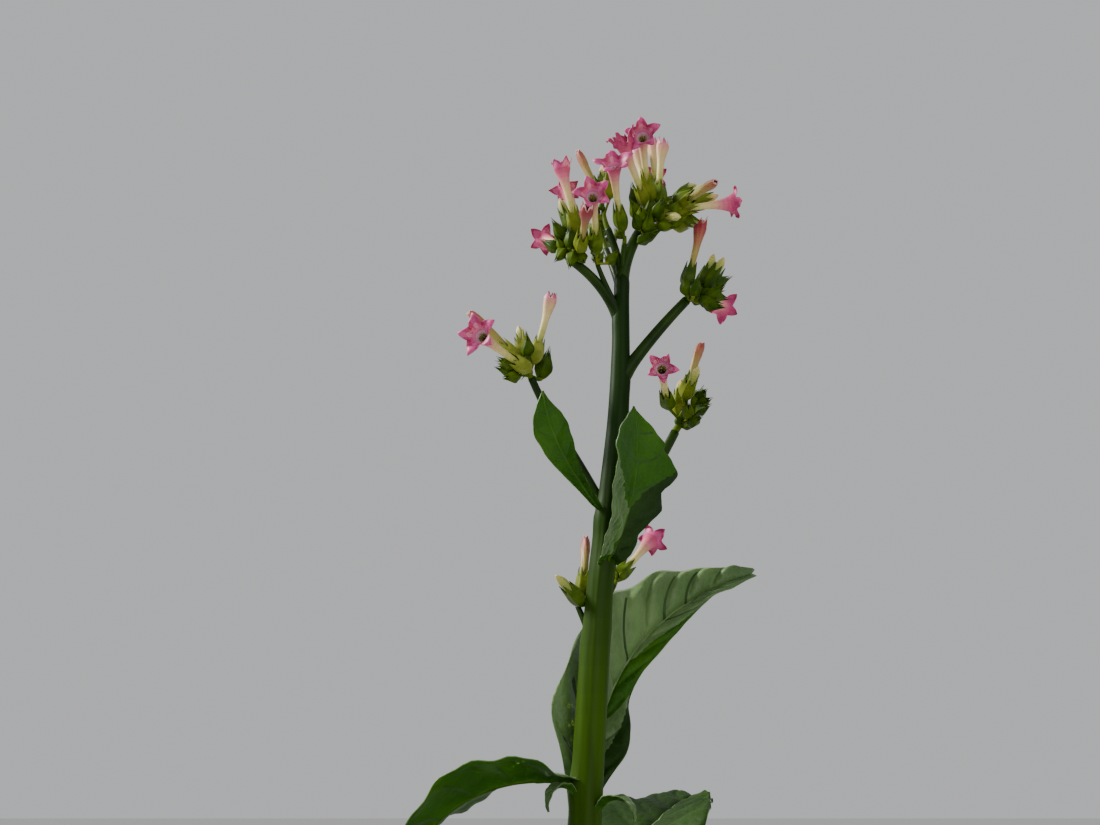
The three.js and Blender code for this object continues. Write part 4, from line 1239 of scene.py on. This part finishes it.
def open_corolla(shell, bloom):
    """A slender tube that widens like a trumpet, and a limb of five pointed lobes."""
    off = lobe_shape(LIMB_SIDES)
    a = angles_round(LIMB_SIDES)
    start = FULL_TURN * bloom.draws[5]
    wilting = bloom.look == "wilting"
    # A wilting flower is darker of itself; a deep one is one shade darker as painted shade.
    dark = 1 if bloom.look in ("wilting", "deep") else 0
    size = LIMB_SIZES.get(bloom.look, mix(*LIMB_VARIES, bloom.draws[9]))
    tip, notch, raised = LIMB_TIP_RADIUS * TIP_GROWS * size, LIMB_NOTCH_RADIUS * NOTCH_GROWS * size, 0
    if wilting:
        tip, notch, raised = WILTED_LIMB
    if bloom.look == "funnel":
        tip, notch, raised = FUNNEL_LIMB
    point = (1 - off) ** LOBE_POINT
    lobe = np.round(np.arange(LIMB_SIDES) / LIMB_SIDES * LOBES) % LOBES
    own = 1 + LOBES_DIFFER * np.sin(LOBE_TURN * lobe + start)
    outline = mix(notch, tip * own, point)
    edge = mix(LIMB_NOTCH, LIMB_TIP, point) + raised * point
    streak = off < STREAK_WIDTH
    body = Body(bloom, LIMB_SIDES)
    for distance in [*TUBE_FROM, *np.arange(TUBE_CLOSER, LIMB_FROM, OPEN_RING_STEP), LIMB_FROM]:
        body.ring(distance, along(OPEN_TUBE, distance), shade_at(OPEN_PINK, distance, TUBE_FOOT, TUBE_SHADES))

    def limb_ring(share, tint, thick):
        radius = mix(MOUTH, outline, share)
        lift = mix(LIMB_FROM, edge, 1 - (1 - share) ** LIMB_FLARE) - LIMB_FROM
        lift = lift - TIP_NODS * share ** 4 * point * own
        lift = lift + LIMB_ARCH * math.sin(math.pi * share) * (1 - 2 * off)
        waved = (EDGE_WAVE + WILTED_WAVE * wilting) * share ** 2
        lift = lift + waved * np.sin(EDGE_WAVES * a + start) + thick
        radius = radius * (1 + WILTED_UNEVEN * wilting * share * np.sin(WILTED_WAVES * a + start))
        body.ring(LIMB_FROM, radius, tint, lift)

    for share in LIMB_RINGS:
        limb_ring(share, PETAL_PALE + 2 + dark if share < PALE_BELOW else PETAL_PALE + 3, 0)
    for share in LIMB_RINGS[::-1]:
        if share > EDGE_FROM:
            tint = PETAL_PALE + 2
        elif share > FACE_FROM:
            tint = np.where(streak, PETAL_PALE + 2, PETAL_PALE + 3)
        else:
            tint = np.where(streak, PETAL_PALE + 1, PETAL_PALE + 2)
        # A line of painted shade, one shade darker, runs along each fold between the lobes.
        fold_shade = (off > BETWEEN_LOBES) & (share > FOLD_SHADE_FROM)
        limb_ring(share, np.minimum(tint + dark + fold_shade, PETAL_DARK), LIMB_THICK)
    for distance, tint in THROAT_TINTS.items():
        body.ring(distance, along(THROAT, distance), tint)
    body.join_to(shell, TUBE_FOOT, THROAT_PAINTED_SHADE)


STAMEN_SIDES = 8
STIGMA_END = 46.0
ANTHER_ENDS = (43.6, 45.6)
STIGMA_OUT, ANTHER_OUT = 0.2, 1.6
STIGMA_RADIUS, ANTHER_RADIUS, FILAMENT_RADIUS = 0.6, 0.5, 0.2
STAMEN_RINGS = (-7, -1.5, -1.0, 0, 0.9)
STAMEN_LEANS, ANTHER_FOOT = 0.5, 0.7


def anthers(shell, bloom):
    """Five stamens and a stigma in the throat of an open flower."""
    for k in range(LOBES + 1):
        centre = k == LOBES
        end = STIGMA_END if centre else mix(*ANTHER_ENDS, bloom.draws[7 + k % 4])
        middle, side, up, ahead = bloom.frame_at(end)
        a = FULL_TURN * (k + bloom.draws[6]) / LOBES
        out = (side * math.cos(a) + up * math.sin(a)) * (STIGMA_OUT if centre else ANTHER_OUT)
        tip = middle + out
        size = STIGMA_RADIUS if centre else ANTHER_RADIUS
        points = [tip + ahead * distance for distance in STAMEN_RINGS]
        points[0] = points[0] - out * STAMEN_LEANS
        radii = [FILAMENT_RADIUS, FILAMENT_RADIUS, size * ANTHER_FOOT, size, FILAMENT_RADIUS]
        tints = FILAMENT if centre else [FILAMENT, ANTHER, ANTHER, ANTHER]
        shell.tube(rings_along(points, radii, STAMEN_SIDES), tints)


# Closed flowers. Their lobes stand up from the tube's end and lean in, and a plug of painted shade closes the
# mouth.
CLOSED_TUBE = [[8, 1.9], [20, 2.2], [30, 2.35], [36, 2.8], [41, 3.7], [45, 4.3], [49, 4.3]]
CLOSED_RING_STEP = 1.6
CLOSED_PINK = (9, 60)
CLOSED_FROM = 46.5
CLOSED_MOUTH = 4.5
CLOSED_LOBE = 6.2
CLOSED_LOBE_RINGS = (0.2, 0.4, 0.6, 0.8, 1.0)
CLOSED_PLUG = ((47.4, 3.6), (49.4, 2.4), (50.8, 0.8))
CLOSED_FOLDS, FOLDS_FROM, FOLDS_OVER = 0.06, 36, 10
CLOSED_UNEVEN, UNEVEN_FROM, UNEVEN_OVER = 0.04, 34, 8
CLOSED_POINT, CLOSED_LOBES_DIFFER, CLOSED_LIFT = 0.7, 0.22, 0.5
LEANS_IN, LEAN_CURVE, CLOSED_WAVE = 0.3, 1.4, 0.08
MARGIN_FROM, MARGIN_PINK_FROM, MIDDLE_TO, MIDDLE_DARK_FROM = 0.5, 0.5, 0.3, 0.7


def closed_corolla(shell, bloom):
    """A flower just shut: its five lobes stand up and lean in over a mouth dark with painted shade."""
    off = lobe_shape(LIMB_SIDES)
    a = angles_round(LIMB_SIDES)
    start = FULL_TURN * bloom.draws[9]
    point = (1 - off) ** CLOSED_POINT
    own = 1 + CLOSED_LOBES_DIFFER * np.sin(a + start)
    body = Body(bloom, LIMB_SIDES)
    for distance in [*TUBE_FROM, *np.arange(TUBE_CLOSER, CLOSED_FROM, CLOSED_RING_STEP), CLOSED_FROM]:
        deep = CLOSED_FOLDS * rising(distance - FOLDS_FROM, FOLDS_OVER)
        uneven = 1 + CLOSED_UNEVEN * np.sin(3 * a + start) * rising(distance - UNEVEN_FROM, UNEVEN_OVER)
        body.ring(distance, along(CLOSED_TUBE, distance) * (1 + deep * (1 - 2 * off)) * uneven,
                  shade_at(CLOSED_PINK, distance, TUBE_FOOT, TUBE_SHADES))

    def lobe_ring(share, tint, thin):
        radius = CLOSED_MOUTH * (1 - LEANS_IN * share ** LEAN_CURVE * point)
        radius = radius * (1 + CLOSED_WAVE * share * np.sin(3 * a + start))
        body.ring(CLOSED_FROM, radius - thin, tint, share * (CLOSED_LIFT + CLOSED_LOBE * point * own))

    for share in CLOSED_LOBE_RINGS:
        margin = PETAL_PALE + (1 if share > MARGIN_PINK_FROM else 0)
        middle = PETAL_DARK if share > MIDDLE_DARK_FROM else TUBE_END - 5 + round(5 * share)
        inner = np.where(off < MIDDLE_TO, middle, TUBE_END - 4)
        lobe_ring(share, np.where(off > MARGIN_FROM, margin, inner), 0)
    # The lobes' inner faces and the plug below take the darkest petal shade: the lobes' own deep pink,
    # darkened into painted shade in the mouth.
    for share in CLOSED_LOBE_RINGS[::-1]:
        lobe_ring(share, PETAL_DARK, LIMB_THICK)
    for distance, radius in CLOSED_PLUG:
        body.ring(distance, radius, PETAL_DARK)
    body.join_to(shell, TUBE_FOOT, PETAL_DARK)


# Spent flowers, and how long some are beside the others. A closed flower with such a look is drawn as a
# spent one.
SPENT_TUBE = [[8, 1.9], [20, 2.4], [30, 2.7], [36, 3.1], [41, 2.9], [44, 2.3]]
WITHERED_TUBE = [[8, 1.9], [20, 2.1], [30, 2.4], [36, 3.2], [41, 4.2], [44, 4.4]]
SPENT_STRETCH = {"withered": 1.12, "crumpled": 0.98, "shrunk": 1.18}
SPENT_FROM = [8, 11, 14, 17]
SPENT_CLOSER, SPENT_RING_STEP, SPENT_END = 19, 1.6, 44
SPENT_TINTS_FROM = 10
WITHERED_RED, SPENT_REDS = 42, (46, 60)
WITHERED_TEETH, SPENT_TEETH = 6.4, 2.2
WRINKLES, FINE_WRINKLES, WRINKLED_FROM, WRINKLED_OVER = 0.09, 0.06, 14, 12
RAGGED_CURVE, RAGGED_UNEVEN, RAGGED_OUT = 0.8, 0.5, 0.5
RAGGED_RINGS = (0.35, 0.7, 1.0)
RAGGED_TURNS = 0.3
END_NARROWS = 0.72
SPENT_INSIDE = ((0.6, 0.8), (0.5, 0.1))
PLUG_DEPTH, PLUG_RADIUS = 2, 0.6


def spent_corolla(shell, bloom):
    """A withered tube with a ragged, shrivelled end."""
    a = angles_round(TUBE_SIDES)
    start = FULL_TURN * bloom.draws[8]
    withered = bloom.look in ("withered", "crumpled")
    profile = WITHERED_TUBE if withered else SPENT_TUBE
    stretch = SPENT_STRETCH.get(bloom.look, 1.0)
    red = WITHERED_RED if withered else mix(*SPENT_REDS, bloom.draws[13])
    body = Body(bloom, TUBE_SIDES)
    for distance in [*SPENT_FROM, *np.arange(SPENT_CLOSER, SPENT_END, SPENT_RING_STEP), SPENT_END]:
        wrinkle = WRINKLES * np.cos(3 * a + start + distance / 9)
        wrinkle = wrinkle + FINE_WRINKLES * np.cos(8 * a + distance / 3)
        wrinkle = wrinkle * rising(distance - WRINKLED_FROM, WRINKLED_OVER)
        body.ring(distance * stretch, along(profile, distance) * (1 + wrinkle),
                  shade_at((SPENT_TINTS_FROM, red), distance, 0, SPENT_SHADES))
    ragged = 1 - lobe_shape(TUBE_SIDES, RAGGED_TURNS * bloom.draws[9])
    end = along(profile, SPENT_END)
    teeth = (WITHERED_TEETH if withered else SPENT_TEETH) * ragged ** RAGGED_CURVE
    teeth = teeth * (1 + RAGGED_UNEVEN * np.sin(a + start))
    for share in RAGGED_RINGS:
        body.ring(SPENT_END * stretch, end * mix(1, END_NARROWS, share) + RAGGED_OUT * share * ragged,
                  SPENT_SHADES - 1 if share < 0.5 else SPENT_EDGE, share * teeth)
    # The inside of the ragged end and a plug deep in it are the spent mouth's dark red, partly painted shade
    # in the mouth.
    for narrow, tall in SPENT_INSIDE:
        body.ring(SPENT_END * stretch, end * narrow, SPENT_MOUTH, tall * teeth)
    body.ring((SPENT_END - PLUG_DEPTH) * stretch, PLUG_RADIUS, SPENT_MOUTH)
    body.join_to(shell)


BUD_TUBE = [[8, 2.2], [14, 2.8], [20, 2.8], [24, 2.3], [28, 0.6]]
BUD_FROM = [8, 11]
BUD_CLOSER, BUD_RING_STEP, BUD_END = 14, 1.2, 28
BUD_PINKS = (27, 40)
BUD_TURNS_FROM = 18
BUD_FOLDS, BUD_FOLDS_FROM, BUD_FOLDS_OVER = 0.12, 16, 6
LEAST_BUD_RADIUS = 0.25


def bud_corolla(shell, bloom):
    """The tip of a flower that has just left its calyx."""
    pink = mix(*BUD_PINKS, bloom.draws[10])
    body = Body(bloom, TUBE_SIDES)
    for distance in [*BUD_FROM, *np.arange(BUD_CLOSER, BUD_END, BUD_RING_STEP), BUD_END]:
        off = lobe_shape(TUBE_SIDES, np.interp(distance, [BUD_TURNS_FROM, BUD_END], [0, 0.5]))
        folds = BUD_FOLDS * rising(distance - BUD_FOLDS_FROM, BUD_FOLDS_OVER) * (1 - 2 * off)
        radius = np.maximum(along(BUD_TUBE, distance) * (1 + folds), LEAST_BUD_RADIUS)
        body.ring(distance, radius, shade_at((BUD_CLOSER, pink), distance, 0, BUD_SHADES))
    body.join_to(shell)


BRACT_RINGS = 8
BRACT_OUTLINE = ((-1, -0.15), (0, -0.35), (1, -0.15), (1, 0.15), (0, 0.1), (-1, 0.15))
BRACT_LENGTHS = (6, 11)
BRACT_SHARE = 0.5
BRACT_WIDTH, BRACT_FOOT, BRACT_CURVE, BRACT_LEAST = 0.16, 0.08, 0.8, 0.12
BRACT_ARCH, BRACT_DROOP, BRACT_FOLD = 1.5, 2.2, 0.5


def bract(shell, root, direction, length, tint):
    """A small pointed leaf at the foot of a flower's stalk."""
    side = unit(np.cross(direction, vec(0.1, 0.2, 1)))
    up = np.cross(side, direction)
    rows = []
    for t in np.linspace(0, 1, BRACT_RINGS):
        half = length * BRACT_WIDTH * math.sin(math.pi * min(t + BRACT_FOOT, 1)) ** BRACT_CURVE + BRACT_LEAST
        arch = BRACT_ARCH * math.sin(math.pi * t) - BRACT_DROOP * t ** 2
        centre = root + direction * length * t + up * arch
        rows.append([centre + side * half * x + up * (abs(x) * half * BRACT_FOLD + y)
                     for x, y in BRACT_OUTLINE])
    shell.tube(rows, tint)


AXIS_RINGS = 12
AXIS_SIDES = 14
AXIS_SUNK = 2
STALK_RADII = np.array([1.25, 1.05, 0.95, 0.9, 0.9, 0.95, 1.05, 1.25, 1.6])
STALK_SIDES = 10
STALK_IN_CALYX = 0.6
STALK_AHEAD, STALK_ARRIVES = 0.5, 0.9
BRACT_BACK, BRACT_UP = 0.2, 0.3
YOUNG_SHADES_TO, SHADES_TO = 2.2, 1.7


def calyx_shade(head_name, bloom):
    """Young calyces are the darker ones, some heads are paler than the others, and some are darker by one
    shade, as painted shade.
    """
    if bloom.stage == "young":
        shade = min(int(bloom.draws[12] * YOUNG_SHADES_TO), CALYX_MID)
    else:
        shade = CALYX_PALEST if head_name in PALE_HEADS else CALYX_MID + int(bloom.draws[12] * SHADES_TO)
    return max(shade - 1, CALYX_DARK) if head_name in PAINTED_SHADE_HEADS else shade


stalks, calyces, corollas, spent, buds, stamens = (Shell() for _ in range(6))
bloom_number = 0
for head_name, blooms in grow_heads().items():
    head, bough = HEADS[head_name], BOUGHS[head_name]
    axis_points = head_path(head_name, AXIS_RINGS)
    tip = bough_path(bough)[-1]
    axis_points = [tip - unit(axis_points[1] - axis_points[0]) * AXIS_SUNK] + axis_points
    radii = [bough["tip_radius"]] + [mix(head["radius"], head["radius"] * HEAD_TAPER, i / AXIS_RINGS)
                                     for i in range(AXIS_RINGS + 1)]
    stalks.tube(rings_along(axis_points, radii, AXIS_SIDES), STALK_MID)
    ahead = unit(axis_points[-1] - axis_points[-3])
    for index, row in enumerate(blooms):
        face = FACES.get((head_name, index))
        bloom = Bloom(row, bloom_number, heading(*face) if face else None, LOOKS.get((head_name, index)))
        bloom_number += 1
        leave = unit(unit(bloom.base - bloom.root) + STALK_AHEAD * ahead)
        span = np.linalg.norm(bloom.base - bloom.root)
        path = curve_between(bloom.root, leave * span, bloom.base + bloom.axis * STALK_IN_CALYX,
                             bloom.axis * span * STALK_ARRIVES, len(STALK_RADII))
        stalks.tube(rings_along(path, STALK_RADII * bloom.size, STALK_SIDES), int(bloom.draws[11] * 2))
        calyx(calyces, bloom, calyx_shade(head_name, bloom))
        if bloom.draws[13] < BRACT_SHARE:
            away = unit(leave - ahead * BRACT_BACK + BRACT_UP * bloom.up)
            bract(stalks, bloom.root, away, mix(*BRACT_LENGTHS, bloom.draws[14]), STALK_PALE)
        if bloom.stage == "open":
            open_corolla(corollas, bloom)
            if bloom.look != "wilting":
                anthers(stamens, bloom)
        elif bloom.stage == "closed" and bloom.look not in SPENT_STRETCH:
            closed_corolla(corollas, bloom)
        elif bloom.stage in ("spent", "closed"):
            spent_corolla(spent, bloom)
        elif bloom.stage == "bud":
            bud_corolla(buds, bloom)

HEAD_NODES = [f"head_{name}" for name in HEADS]
stalks.piece("flower_stalks", STALK_MATERIALS, HEAD_NODES, "flower_head")
calyces.piece("calyces", CALYX_MATERIALS, HEAD_NODES, "flower_head")
corollas.piece("corollas", COROLLA_MATERIALS, HEAD_NODES, "flower_head")
spent.piece("spent_corollas", SPENT_MATERIALS, HEAD_NODES, "flower_head")
buds.piece("corolla_buds", BUD_MATERIALS, HEAD_NODES, "flower_head")
stamens.piece("stamens", STAMEN_MATERIALS, HEAD_NODES, "flower_head")


# The floor, the light and the camera, in metres.
FLOOR_REACH = 30


def plain_floor():
    corners = [(-1, -1), (1, -1), (1, 1), (-1, 1)]
    mesh = bpy.data.meshes.new("floor")
    mesh.from_pydata([(x * FLOOR_REACH, y * FLOOR_REACH, 0) for x, y in corners], [], [(0, 1, 2, 3)])
    mesh.materials.append(principled("floor_pale", (0.8, 0.8, 0.78), roughness=0.9, specular=0.1))
    shown("floor", mesh)


def area_light(name, place, target, size, power, colour):
    data = bpy.data.lights.new(name, "AREA")
    data.size = size
    data.energy = power
    data.color = colour
    light = shown(name, data)
    light.location = place
    light.rotation_euler = (Vector(target) - Vector(place)).to_track_quat("-Z", "Y").to_euler()


def soft_world(colour, strength):
    world = bpy.data.worlds.new("studio")
    world.use_nodes = True
    background = world.node_tree.nodes["Background"].inputs
    background["Color"].default_value = (*colour, 1)
    background["Strength"].default_value = strength
    bpy.context.scene.world = world


plain_floor()
area_light("key", place=(-2.2, 0.2, 3.4), target=(0.05, 0, 1.35), size=0.8, power=220,
           colour=(1.0, 0.97, 0.92))
area_light("fill", place=(1.4, -3.0, 2.0), target=(0.05, 0, 1.25), size=2.4, power=40,
           colour=(1.0, 0.99, 0.97))
soft_world(colour=(0.86, 0.87, 0.89), strength=0.6)

# The camera looks up by its tilt. Its focal length is a share of the picture's width.
CAMERA_PLACE = (0.038, -0.65, 1.25)
CAMERA_TILT = 18.8
FOCAL_SHARE = 1050 / 1100
SENSOR = 36
camera_data = bpy.data.cameras.new("camera")
camera_data.sensor_fit = "HORIZONTAL"
camera_data.sensor_width = SENSOR
camera_data.lens = SENSOR * FOCAL_SHARE
camera = shown("camera", camera_data)
camera.location = CAMERA_PLACE
camera.rotation_euler = (math.radians(90 + CAMERA_TILT), 0, 0)
bpy.context.scene.camera = camera
